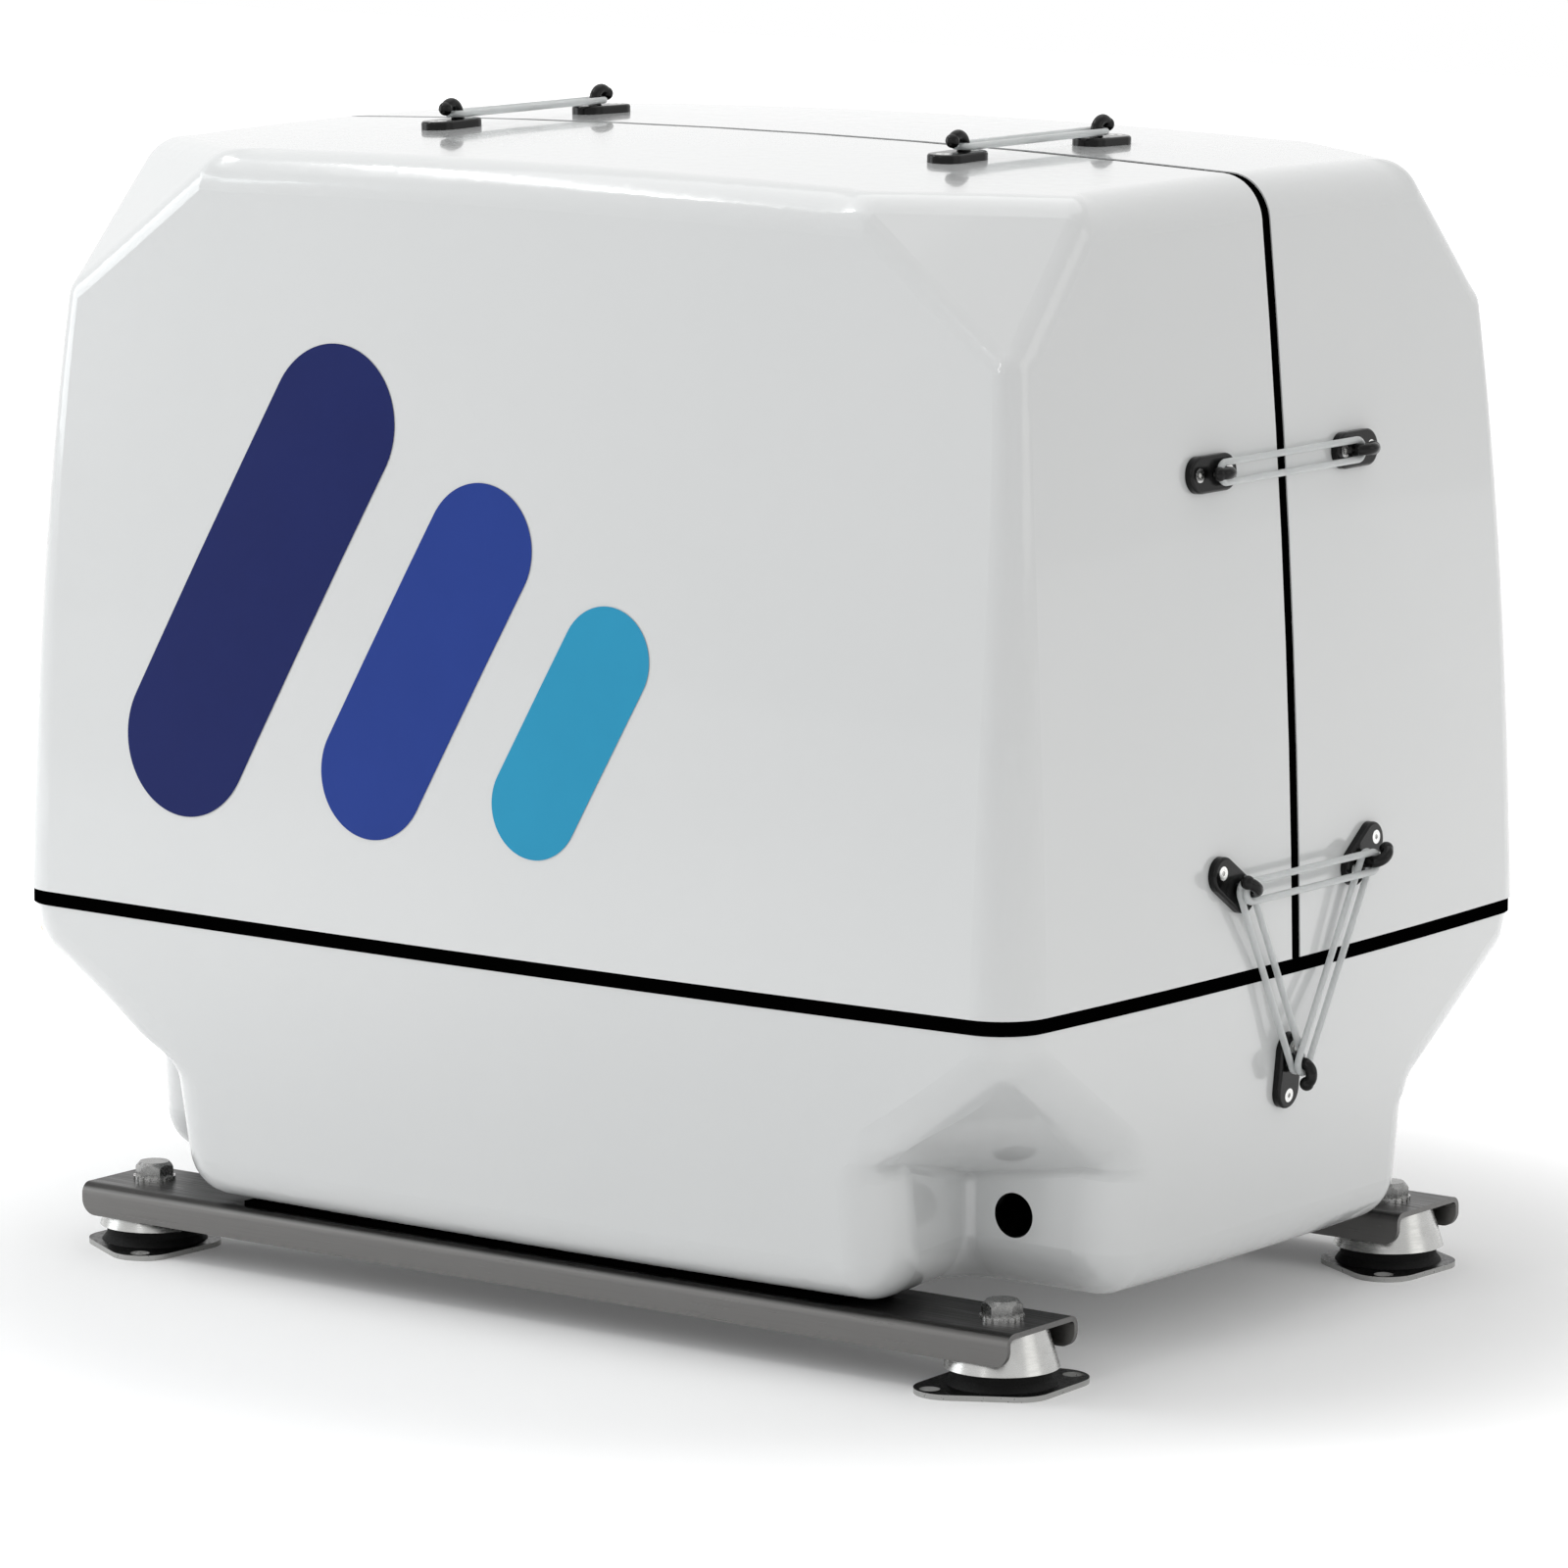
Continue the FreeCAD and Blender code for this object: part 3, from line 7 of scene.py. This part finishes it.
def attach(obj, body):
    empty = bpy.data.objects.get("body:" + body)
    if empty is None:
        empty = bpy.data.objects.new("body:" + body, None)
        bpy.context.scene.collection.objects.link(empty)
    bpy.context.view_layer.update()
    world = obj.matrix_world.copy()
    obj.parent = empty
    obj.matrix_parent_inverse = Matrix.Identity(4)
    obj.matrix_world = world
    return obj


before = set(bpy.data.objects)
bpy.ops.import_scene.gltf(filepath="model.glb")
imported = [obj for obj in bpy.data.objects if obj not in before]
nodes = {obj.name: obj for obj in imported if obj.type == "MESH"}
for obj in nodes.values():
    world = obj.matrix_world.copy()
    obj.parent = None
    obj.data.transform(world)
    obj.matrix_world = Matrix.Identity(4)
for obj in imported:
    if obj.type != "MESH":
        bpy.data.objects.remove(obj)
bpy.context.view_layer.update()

print("stage: frame loaded,", len(nodes), "nodes")


# small helpers for node trees

def addNode(tree, kind, **settings):
    node = tree.nodes.new(kind)
    for key, value in settings.items():
        setattr(node, key, value)
    return node


def join(tree, source, target):
    tree.links.new(source, target)


def setInputs(node, values):
    for label, value in values.items():
        node.inputs[label].default_value = value


def newGroup(name, inputs, outputs):
    group = bpy.data.node_groups.new(name, "ShaderNodeTree")
    for label, kind, default in inputs:
        socket = group.interface.new_socket(label, in_out="INPUT", socket_type=kind)
        socket.default_value = default
    for label, kind in outputs:
        group.interface.new_socket(label, in_out="OUTPUT", socket_type=kind)
    return group, addNode(group, "NodeGroupInput"), addNode(group, "NodeGroupOutput")


def useGroup(tree, group, **values):
    node = addNode(tree, "ShaderNodeGroup", node_tree=group)
    setInputs(node, values)
    return node


# colour that drifts slowly between two shades over a surface
def makeDriftGroup():
    group, inputs, outputs = newGroup(
        "colourDrift",
        [("Colour", "NodeSocketColor", (0.8, 0.8, 0.8, 1)), ("Second", "NodeSocketColor", (0.7, 0.7, 0.7, 1)),
         ("Size", "NodeSocketFloat", 5.0), ("Amount", "NodeSocketFloat", 0.3)],
        [("Colour", "NodeSocketColor")])
    place = addNode(group, "ShaderNodeTexCoord")
    noise = addNode(group, "ShaderNodeTexNoise")
    setInputs(noise, {"Detail": 5, "Roughness": 0.55})
    join(group, place.outputs["Object"], noise.inputs["Vector"])
    join(group, inputs.outputs["Size"], noise.inputs["Scale"])
    ramp = addNode(group, "ShaderNodeMapRange")
    setInputs(ramp, {"From Min": 0.35, "From Max": 0.65})
    join(group, noise.outputs["Fac"], ramp.inputs["Value"])
    share = addNode(group, "ShaderNodeMath", operation="MULTIPLY")
    join(group, ramp.outputs["Result"], share.inputs[0])
    join(group, inputs.outputs["Amount"], share.inputs[1])
    mix = addNode(group, "ShaderNodeMix", data_type="RGBA")
    join(group, share.outputs[0], mix.inputs["Factor"])
    join(group, inputs.outputs["Colour"], mix.inputs["A"])
    join(group, inputs.outputs["Second"], mix.inputs["B"])
    join(group, mix.outputs["Result"], outputs.inputs["Colour"])
    return group


# small relief: noise stretched by the three Stretch values, as height in metres, and a roughness
# that follows the same noise
def makeGrainGroup():
    group, inputs, outputs = newGroup(
        "fineGrain",
        [("Stretch", "NodeSocketVector", (1, 1, 1)), ("Size", "NodeSocketFloat", 500.0),
         ("Depth", "NodeSocketFloat", 0.0001), ("Rough Low", "NodeSocketFloat", 0.2),
         ("Rough High", "NodeSocketFloat", 0.3)],
        [("Height", "NodeSocketFloat"), ("Roughness", "NodeSocketFloat")])
    place = addNode(group, "ShaderNodeTexCoord")
    scaled = addNode(group, "ShaderNodeVectorMath", operation="MULTIPLY")
    noise = addNode(group, "ShaderNodeTexNoise")
    noise.inputs["Detail"].default_value = 3
    join(group, place.outputs["Object"], scaled.inputs[0])
    join(group, inputs.outputs["Stretch"], scaled.inputs[1])
    join(group, scaled.outputs[0], noise.inputs["Vector"])
    join(group, inputs.outputs["Size"], noise.inputs["Scale"])
    height = addNode(group, "ShaderNodeMath", operation="MULTIPLY")
    join(group, noise.outputs["Fac"], height.inputs[0])
    join(group, inputs.outputs["Depth"], height.inputs[1])
    rough = addNode(group, "ShaderNodeMapRange")
    setInputs(rough, {"From Min": 0.3, "From Max": 0.7})
    join(group, noise.outputs["Fac"], rough.inputs["Value"])
    join(group, inputs.outputs["Rough Low"], rough.inputs["To Min"])
    join(group, inputs.outputs["Rough High"], rough.inputs["To Max"])
    join(group, height.outputs[0], outputs.inputs["Height"])
    join(group, rough.outputs["Result"], outputs.inputs["Roughness"])
    return group


# 1 on faces that stand upright, 0 on faces that lie flat; with it upright faces get a lighter colour as
# painted light and flat faces keep a darker one as painted shade
def makeLitUprightGroup():
    group, inputs, outputs = newGroup("uprightMask", [], [("Mask", "NodeSocketFloat")])
    surface = addNode(group, "ShaderNodeNewGeometry")
    parts = addNode(group, "ShaderNodeSeparateXYZ")
    size = addNode(group, "ShaderNodeMath", operation="ABSOLUTE")
    ramp = addNode(group, "ShaderNodeMapRange")
    setInputs(ramp, {"From Min": 0.75, "From Max": 0.35})
    join(group, surface.outputs["Normal"], parts.inputs[0])
    join(group, parts.outputs["Z"], size.inputs[0])
    join(group, size.outputs[0], ramp.inputs["Value"])
    join(group, ramp.outputs["Result"], outputs.inputs["Mask"])
    return group


# 1 inside a round bore along Y: nearer than Radius to the line through Centre, and with Y below Limit; it
#                                marks where painted shade goes inside the bore
def makeBoreShadeGroup():
    group, inputs, outputs = newGroup(
        "boreMask",
        [("Centre", "NodeSocketVector", (0, 0, 0)), ("Radius", "NodeSocketFloat", 0.01),
         ("Limit", "NodeSocketFloat", 0.0)],
        [("Mask", "NodeSocketFloat")])
    place = addNode(group, "ShaderNodeTexCoord")
    flat = addNode(group, "ShaderNodeVectorMath", operation="MULTIPLY")
    flat.inputs[1].default_value = (1, 0, 1)
    far = addNode(group, "ShaderNodeVectorMath", operation="DISTANCE")
    near = addNode(group, "ShaderNodeMath", operation="LESS_THAN")
    parts = addNode(group, "ShaderNodeSeparateXYZ")
    front = addNode(group, "ShaderNodeMath", operation="LESS_THAN")
    both = addNode(group, "ShaderNodeMath", operation="MULTIPLY")
    join(group, place.outputs["Object"], flat.inputs[0])
    join(group, flat.outputs[0], far.inputs[0])
    join(group, inputs.outputs["Centre"], far.inputs[1])
    join(group, far.outputs["Value"], near.inputs[0])
    join(group, inputs.outputs["Radius"], near.inputs[1])
    join(group, place.outputs["Object"], parts.inputs[0])
    join(group, parts.outputs["Y"], front.inputs[0])
    join(group, inputs.outputs["Limit"], front.inputs[1])
    join(group, near.outputs[0], both.inputs[0])
    join(group, front.outputs[0], both.inputs[1])
    join(group, both.outputs[0], outputs.inputs["Mask"])
    return group


driftGroup = makeDriftGroup()
grainGroup = makeGrainGroup()
uprightGroup = makeLitUprightGroup()
boreGroup = makeBoreShadeGroup()
# painted shade: near black laid inside the outlet bore of the gelcoat
boreColour = (0.001, 0.001, 0.001)
coatRoughness = 0.04
outletBoreShade = {"Centre": (0.27, 0, 0.082), "Radius": 0.0122, "Limit": -0.13}

# every finish: its two colours, how rough, how metallic, its clear coat and its relief; some also carry
# painted light: a lighter colour on upright faces, or painted shade inside a bore
finishes = {
    # the gelcoat carries painted shade inside its outlet bore
    "gelcoat": dict(colour=(0.76, 0.77, 0.77), second=(0.735, 0.75, 0.75), drift=(3, 0.6), bore=outletBoreShade,
                    rough=(0.14, 0.2), grain=140, depth=0.00004, coat=0.6),
    "sealRubber": dict(colour=(0.0005, 0.0005, 0.0005), second=(0.001, 0.001, 0.001), drift=(60, 0.5),
                       rough=(0.7, 0.9), grain=1500, depth=0.00002, shine=0),
    "hookPlastic": dict(colour=(0.002, 0.002, 0.002), second=(0.005, 0.005, 0.005), drift=(80, 0.5),
                        rough=(0.14, 0.24), grain=900, depth=0.00001, shine=0.15, coat=0.12),
    "screwSteel": dict(colour=(0.75, 0.75, 0.74), second=(0.5, 0.5, 0.49), drift=(300, 0.4),
                       rough=(0.16, 0.3), grain=2500, depth=0.00001, metal=1),
    "clearBand": dict(colour=(0.80, 0.82, 0.82), second=(0.72, 0.75, 0.75), drift=(90, 0.5),
                      rough=(0.3, 0.42), grain=500, depth=0.00001, glass=0.4, coat=0.3),
    "boltSteel": dict(colour=(0.3, 0.3, 0.295), second=(0.14, 0.14, 0.138), drift=(120, 0.5), metal=1,
                      rough=(0.2, 0.36), grain=900, depth=0.00002),
    # painted light: the rail's flat top is coloured dark as painted shade and its upright sides lighter as
    # painted light
    "railSteel": dict(colour=(0.045, 0.044, 0.043), second=(0.026, 0.0255, 0.025), drift=(11, 0.7), metal=1,
                      upright=(0.175, 0.172, 0.168), rough=(0.26, 0.46), grain=60, stretch=(0.35, 14, 14),
                      depth=0.00006),
    # painted light: the plate's flat top is near black as painted shade and its upright edges light grey as
    # painted light
    "plateSteel": dict(colour=(0.006, 0.006, 0.006), second=(0.015, 0.015, 0.015), drift=(40, 0.5),
                       upright=(0.42, 0.42, 0.41), metal=0.6, rough=(0.25, 0.45), grain=400, depth=0.00003),
    "bellSteel": dict(colour=(0.5, 0.5, 0.49), second=(0.3, 0.3, 0.29), drift=(50, 0.4), metal=1,
                      rough=(0.2, 0.34), grain=120, stretch=(1, 1, 9), depth=0.00002),
    "mountRubber": dict(colour=(0.002, 0.002, 0.002), second=(0.008, 0.008, 0.008), drift=(50, 0.5),
                        rough=(0.6, 0.8), grain=1200, depth=0.00004, shine=0.2),
    "hoseNickel": dict(colour=(0.6, 0.56, 0.47), second=(0.45, 0.42, 0.35), drift=(90, 0.4), metal=1,
                       rough=(0.16, 0.3), grain=900, depth=0.00001),
    "soundFoam": dict(colour=(0.035, 0.036, 0.04), second=(0.06, 0.062, 0.066), drift=(120, 0.8),
                      rough=(0.9, 1), grain=260, depth=0.0012),
    "enginePaint": dict(colour=(0.56, 0.57, 0.58), second=(0.48, 0.49, 0.5), drift=(20, 0.6),
                        rough=(0.3, 0.48), grain=700, depth=0.00008, coat=0.25),
    "castAluminium": dict(colour=(0.55, 0.55, 0.56), second=(0.4, 0.4, 0.41), drift=(40, 0.6), metal=1,
                          rough=(0.4, 0.6), grain=900, depth=0.00014),
    "blackPaint": dict(colour=(0.015, 0.015, 0.017), second=(0.03, 0.03, 0.033), drift=(30, 0.5),
                       rough=(0.3, 0.45), grain=800, depth=0.00006, coat=0.2),
    "greyPaint": dict(colour=(0.2, 0.22, 0.25), second=(0.16, 0.175, 0.2), drift=(25, 0.5),
                      rough=(0.32, 0.46), grain=700, depth=0.00007, coat=0.2),
    "turnedSteel": dict(colour=(0.5, 0.5, 0.5), second=(0.36, 0.36, 0.36), drift=(60, 0.4), metal=1,
                        rough=(0.22, 0.4), grain=500, depth=0.00003),
    "beltRubber": dict(colour=(0.014, 0.014, 0.014), second=(0.03, 0.03, 0.03), drift=(80, 0.5),
                       rough=(0.6, 0.85), grain=1500, depth=0.0001),
    "navyFilm": dict(colour=(0.0125, 0.021, 0.122), second=(0.011, 0.018, 0.105), drift=(14, 0.5),
                     rough=(0.3, 0.4), grain=500, depth=0.00001, shine=0.1),
    "blueFilm": dict(colour=(0.025, 0.058, 0.30), second=(0.022, 0.052, 0.27), drift=(14, 0.5),
                     rough=(0.3, 0.4), grain=500, depth=0.00001, shine=0.1),
    "skyFilm": dict(colour=(0.036, 0.35, 0.58), second=(0.033, 0.32, 0.54), drift=(14, 0.5),
                    rough=(0.3, 0.4), grain=500, depth=0.00001, shine=0.1),
}


# lays a second colour over the first where the mask is 1
def overlay(tree, mask, below, above):
    mix = addNode(tree, "ShaderNodeMix", data_type="RGBA")
    join(tree, mask, mix.inputs["Factor"])
    join(tree, below, mix.inputs["A"])
    mix.inputs["B"].default_value = tuple(above) + (1,)
    return mix.outputs["Result"]


def makeFinish(name, look):
    material = bpy.data.materials.new(name)
    material.use_nodes = True
    tree = material.node_tree
    shader = tree.nodes["Principled BSDF"]
    size, amount = look["drift"]
    drift = useGroup(tree, driftGroup, Colour=look["colour"] + (1,), Second=look["second"] + (1,),
                     Size=size, Amount=amount)
    grain = useGroup(tree, grainGroup, Stretch=look.get("stretch", (1, 1, 1)), Size=look["grain"],
                     Depth=look["depth"])
    setInputs(grain, dict(zip(("Rough Low", "Rough High"), look["rough"])))
    bump = addNode(tree, "ShaderNodeBump")
    bump.inputs["Distance"].default_value = 1.0
    join(tree, grain.outputs["Height"], bump.inputs["Height"])
    colour = drift.outputs["Colour"]
    # painted light: upright faces get a lighter colour than the flat faces
    if "upright" in look:
        colour = overlay(tree, useGroup(tree, uprightGroup).outputs["Mask"], colour, look["upright"])
    # painted shade: the inside of the outlet bore is coloured near black
    if "bore" in look:
        bore = useGroup(tree, boreGroup, **look["bore"])
        colour = overlay(tree, bore.outputs["Mask"], colour, boreColour)
    join(tree, colour, shader.inputs["Base Color"])
    join(tree, grain.outputs["Roughness"], shader.inputs["Roughness"])
    join(tree, bump.outputs["Normal"], shader.inputs["Normal"])
    setInputs(shader, {"Metallic": look.get("metal", 0), "Coat Weight": look.get("coat", 0),
                       "Coat Roughness": coatRoughness, "Transmission Weight": look.get("glass", 0),
                       "Specular IOR Level": look.get("shine", 0.5)})
    return material


materials = {name: makeFinish(name, look) for name, look in finishes.items()}

nodeFinish = {
    "gelcoat": ["front_cover", "rear_cover", "base_tray"],
    "sealRubber": ["middle_seal", "tray_gasket", "rail_pads"],
    "hookPlastic": ["front_hooks", "rear_hooks", "base_hooks", "oil_cap", "control_lid"],
    "screwSteel": ["front_hook_screws", "rear_hook_screws", "base_hook_screws", "mount_washers",
                   "tray_nuts", "housing_bolts"],
    "boltSteel": ["mount_bolts", "tray_bolts"],
    "clearBand": ["cross_bands", "front_lower_bands", "rear_lower_bands"],
    "railSteel": ["front_rail", "rear_rail", "bearers"],
    "plateSteel": ["mount_plates"],
    "bellSteel": ["mount_caps"],
    "mountRubber": ["mount_rubbers", "isolators"],
    "hoseNickel": ["hose_barb"],
    "soundFoam": ["front_foam", "rear_foam", "floor_foam"],
    "enginePaint": ["engine_block", "oil_pan", "timing_cover", "cylinder_head", "engine_feet",
                    "alternator_feet", "flywheel_housing", "seawater_pump", "lifting_eye",
                    "control_bracket"],
    "castAluminium": ["heat_exchanger", "exchanger_cap", "mixing_elbow", "end_bell",
                      "injection_pump", "fuel_filter"],
    "blackPaint": ["rocker_cover", "air_silencer", "starter_motor", "oil_filter", "control_box"],
    "greyPaint": ["alternator"],
    "turnedSteel": ["crank_pulley", "pump_pulley", "injectors", "dipstick"],
    "beltRubber": ["drive_belt"],
}

for finish, names in nodeFinish.items():
    for name in names:
        mesh = nodes[name].data
        mesh.materials.clear()
        mesh.materials.append(materials[finish])
print("stage: finishes on", sum(len(names) for names in nodeFinish.values()), "nodes")


# coloured film on the front cover: three leaning bars with round ends

bars = {
    "navyBar": {"finish": "navyFilm", "centre": (-0.165, 0.395), "length": 0.29, "width": 0.088, "lean": 62},
    "blueBar": {"finish": "blueFilm", "centre": (-0.045, 0.362), "length": 0.215, "width": 0.072, "lean": 62},
    "skyBar": {"finish": "skyFilm", "centre": (0.055, 0.333), "length": 0.15, "width": 0.058, "lean": 62},
}


def addBar(name, bar, rows=90, columns=16, lift=0.0004, startY=-0.4):
    # s runs along the bar, eased toward both ends, and t runs across it; the half width is full
    # between the two end centres and follows a circle round each of them
    half, radius = bar["length"] / 2, bar["width"] / 2
    s = -half * np.cos(np.linspace(0, np.pi, rows))
    past = np.clip(np.abs(s) - (half - radius), 0, radius)
    spread = np.maximum(np.sqrt(radius ** 2 - past ** 2), 0.0002)
    t = np.linspace(-1, 1, columns)[None, :] * spread[:, None]
    lean = math.radians(bar["lean"])
    x = bar["centre"][0] + s[:, None] * math.cos(lean) - t * math.sin(lean)
    z = bar["centre"][1] + s[:, None] * math.sin(lean) + t * math.cos(lean)
    points = np.stack([x, np.full_like(x, startY), z], axis=-1).reshape(-1, 3)
    index = np.arange(rows * columns).reshape(rows, columns)
    faces = np.stack([index[:-1, :-1], index[1:, :-1], index[1:, 1:], index[:-1, 1:]], axis=-1)
    mesh = bpy.data.meshes.new(name)
    mesh.from_pydata(points.tolist(), [], faces.reshape(-1, 4).tolist())
    piece = bpy.data.objects.new(name, mesh)
    bpy.context.scene.collection.objects.link(piece)
    wrap = piece.modifiers.new("lay", "SHRINKWRAP")
    wrap.target = nodes["front_cover"]
    wrap.wrap_method = "PROJECT"
    wrap.use_project_y = True
    wrap.offset = lift
    laid = bpy.data.meshes.new_from_object(piece.evaluated_get(bpy.context.evaluated_depsgraph_get()))
    piece.modifiers.clear()
    piece.data = laid
    laid.name = name
    laid.materials.append(materials[bar["finish"]])
    laid.shade_smooth()
    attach(piece, "front_cover_body")
    return piece


for name, bar in bars.items():
    addBar(name, bar)
print("stage:", len(bars), "film bars on the front cover")


# camera, lights and floor

view = {"place": (2.71397, -3.67422, 1.00167), "turn": 36.358, "tilt": -9.1176, "roll": 0.245,
        "lens": 189.57, "sensor": 36}


def addCamera():
    data = bpy.data.cameras.new("camera")
    data.lens = view["lens"]
    data.sensor_width = view["sensor"]
    data.clip_end = 50
    camera = bpy.data.objects.new("camera", data)
    bpy.context.scene.collection.objects.link(camera)
    turn = Matrix.Rotation(math.radians(view["turn"]), 4, "Z")
    tilt = Matrix.Rotation(math.radians(90 + view["tilt"]), 4, "X")
    roll = Matrix.Rotation(math.radians(view["roll"]), 4, "Z")
    camera.matrix_world = Matrix.Translation(view["place"]) @ turn @ tilt @ roll
    bpy.context.scene.camera = camera


lamps = {
    "top": {"at": (-0.3, 0.1, 2.6), "aim": (0, 0, 0.4), "size": (3.2, 2.4), "watts": 18, "colour": (1, 1, 1)},
    "left": {"at": (-2.9, -1.5, 1.3), "aim": (0, -0.2, 0.3), "size": (1.6, 1.8), "watts": 23,
             "colour": (0.94, 0.98, 1)},
    "right": {"at": (3.4, 0.6, 1.5), "aim": (0, 0, 0.3), "size": (1.8, 2.2), "watts": 9,
              "colour": (1, 0.99, 0.95)},
    "edgeStrip": {"at": (-1.6, -0.65, 2.6), "aim": (0, -0.24, 0.6), "size": (1.3, 0.1), "watts": 9,
                  "colour": (1, 1, 1)},
    "facetStrip": {"at": (0.1, -3.4, 2.1), "aim": (0.2, -0.2, 0.5), "size": (0.2, 1.4), "watts": 6,
                   "colour": (1, 1, 1)},
}


def addLamp(name, lamp):
    data = bpy.data.lights.new(name, "AREA")
    data.shape = "RECTANGLE"
    data.size, data.size_y = lamp["size"]
    data.energy = lamp["watts"]
    data.color = lamp["colour"]
    light = bpy.data.objects.new(name, data)
    light.location = lamp["at"]
    aim = Vector(lamp["aim"]) - Vector(lamp["at"])
    light.rotation_euler = aim.to_track_quat("-Z", "Y").to_euler()
    bpy.context.scene.collection.objects.link(light)


def cameraShare(tree):
    # 1 for rays from the camera, off a mirror or through glass
    path = addNode(tree, "ShaderNodeLightPath")
    first = addNode(tree, "ShaderNodeMath", operation="MAXIMUM")
    second = addNode(tree, "ShaderNodeMath", operation="MAXIMUM")
    join(tree, path.outputs["Is Camera Ray"], first.inputs[0])
    join(tree, path.outputs["Is Glossy Ray"], first.inputs[1])
    join(tree, first.outputs[0], second.inputs[0])
    join(tree, path.outputs["Is Transmission Ray"], second.inputs[1])
    return second.outputs[0]


def addWorld(strength=0.56):
    world = bpy.data.worlds.new("studio")
    world.use_nodes = True
    bpy.context.scene.world = world
    tree = world.node_tree
    background = tree.nodes["Background"]
    setInputs(background, {"Color": (1, 1, 1, 1)})
    level = addNode(tree, "ShaderNodeMapRange")
    setInputs(level, {"To Min": strength, "To Max": 1.0})
    join(tree, cameraShare(tree), level.inputs["Value"])
    join(tree, level.outputs["Result"], background.inputs["Strength"])


def addFloor(near=0.09, far=0.72, rise=(0.4, 0.8), half=8.0, paper=(0.93, 0.93, 0.93, 1)):
    # white paper whose own glow grows with the distance from the object
    corners = [(-half, -half, 0), (half, -half, 0), (half, half, 0), (-half, half, 0)]
    mesh = bpy.data.meshes.new("floor")
    mesh.from_pydata(corners, [], [(0, 1, 2, 3)])
    floor = bpy.data.objects.new("floor", mesh)
    bpy.context.scene.collection.objects.link(floor)
    material = bpy.data.materials.new("floorPaper")
    material.use_nodes = True
    tree = material.node_tree
    shader = tree.nodes["Principled BSDF"]
    setInputs(shader, {"Base Color": paper, "Roughness": 0.9, "Emission Color": (1, 1, 1, 1)})
    place = addNode(tree, "ShaderNodeTexCoord")
    reach = addNode(tree, "ShaderNodeVectorMath", operation="LENGTH")
    level = addNode(tree, "ShaderNodeMapRange", interpolation_type="SMOOTHSTEP")
    setInputs(level, {"From Min": rise[0], "From Max": rise[1], "To Min": near, "To Max": far})
    glow = addNode(tree, "ShaderNodeMath", operation="MULTIPLY")
    join(tree, place.outputs["Object"], reach.inputs[0])
    join(tree, reach.outputs["Value"], level.inputs["Value"])
    join(tree, level.outputs["Result"], glow.inputs[0])
    join(tree, cameraShare(tree), glow.inputs[1])
    join(tree, glow.outputs[0], shader.inputs["Emission Strength"])
    mesh.materials.append(material)


addCamera()
for name, lamp in lamps.items():
    addLamp(name, lamp)
addWorld()
addFloor()
bpy.context.scene.view_settings.view_transform = "Standard"
print("stage: camera, lights and floor")
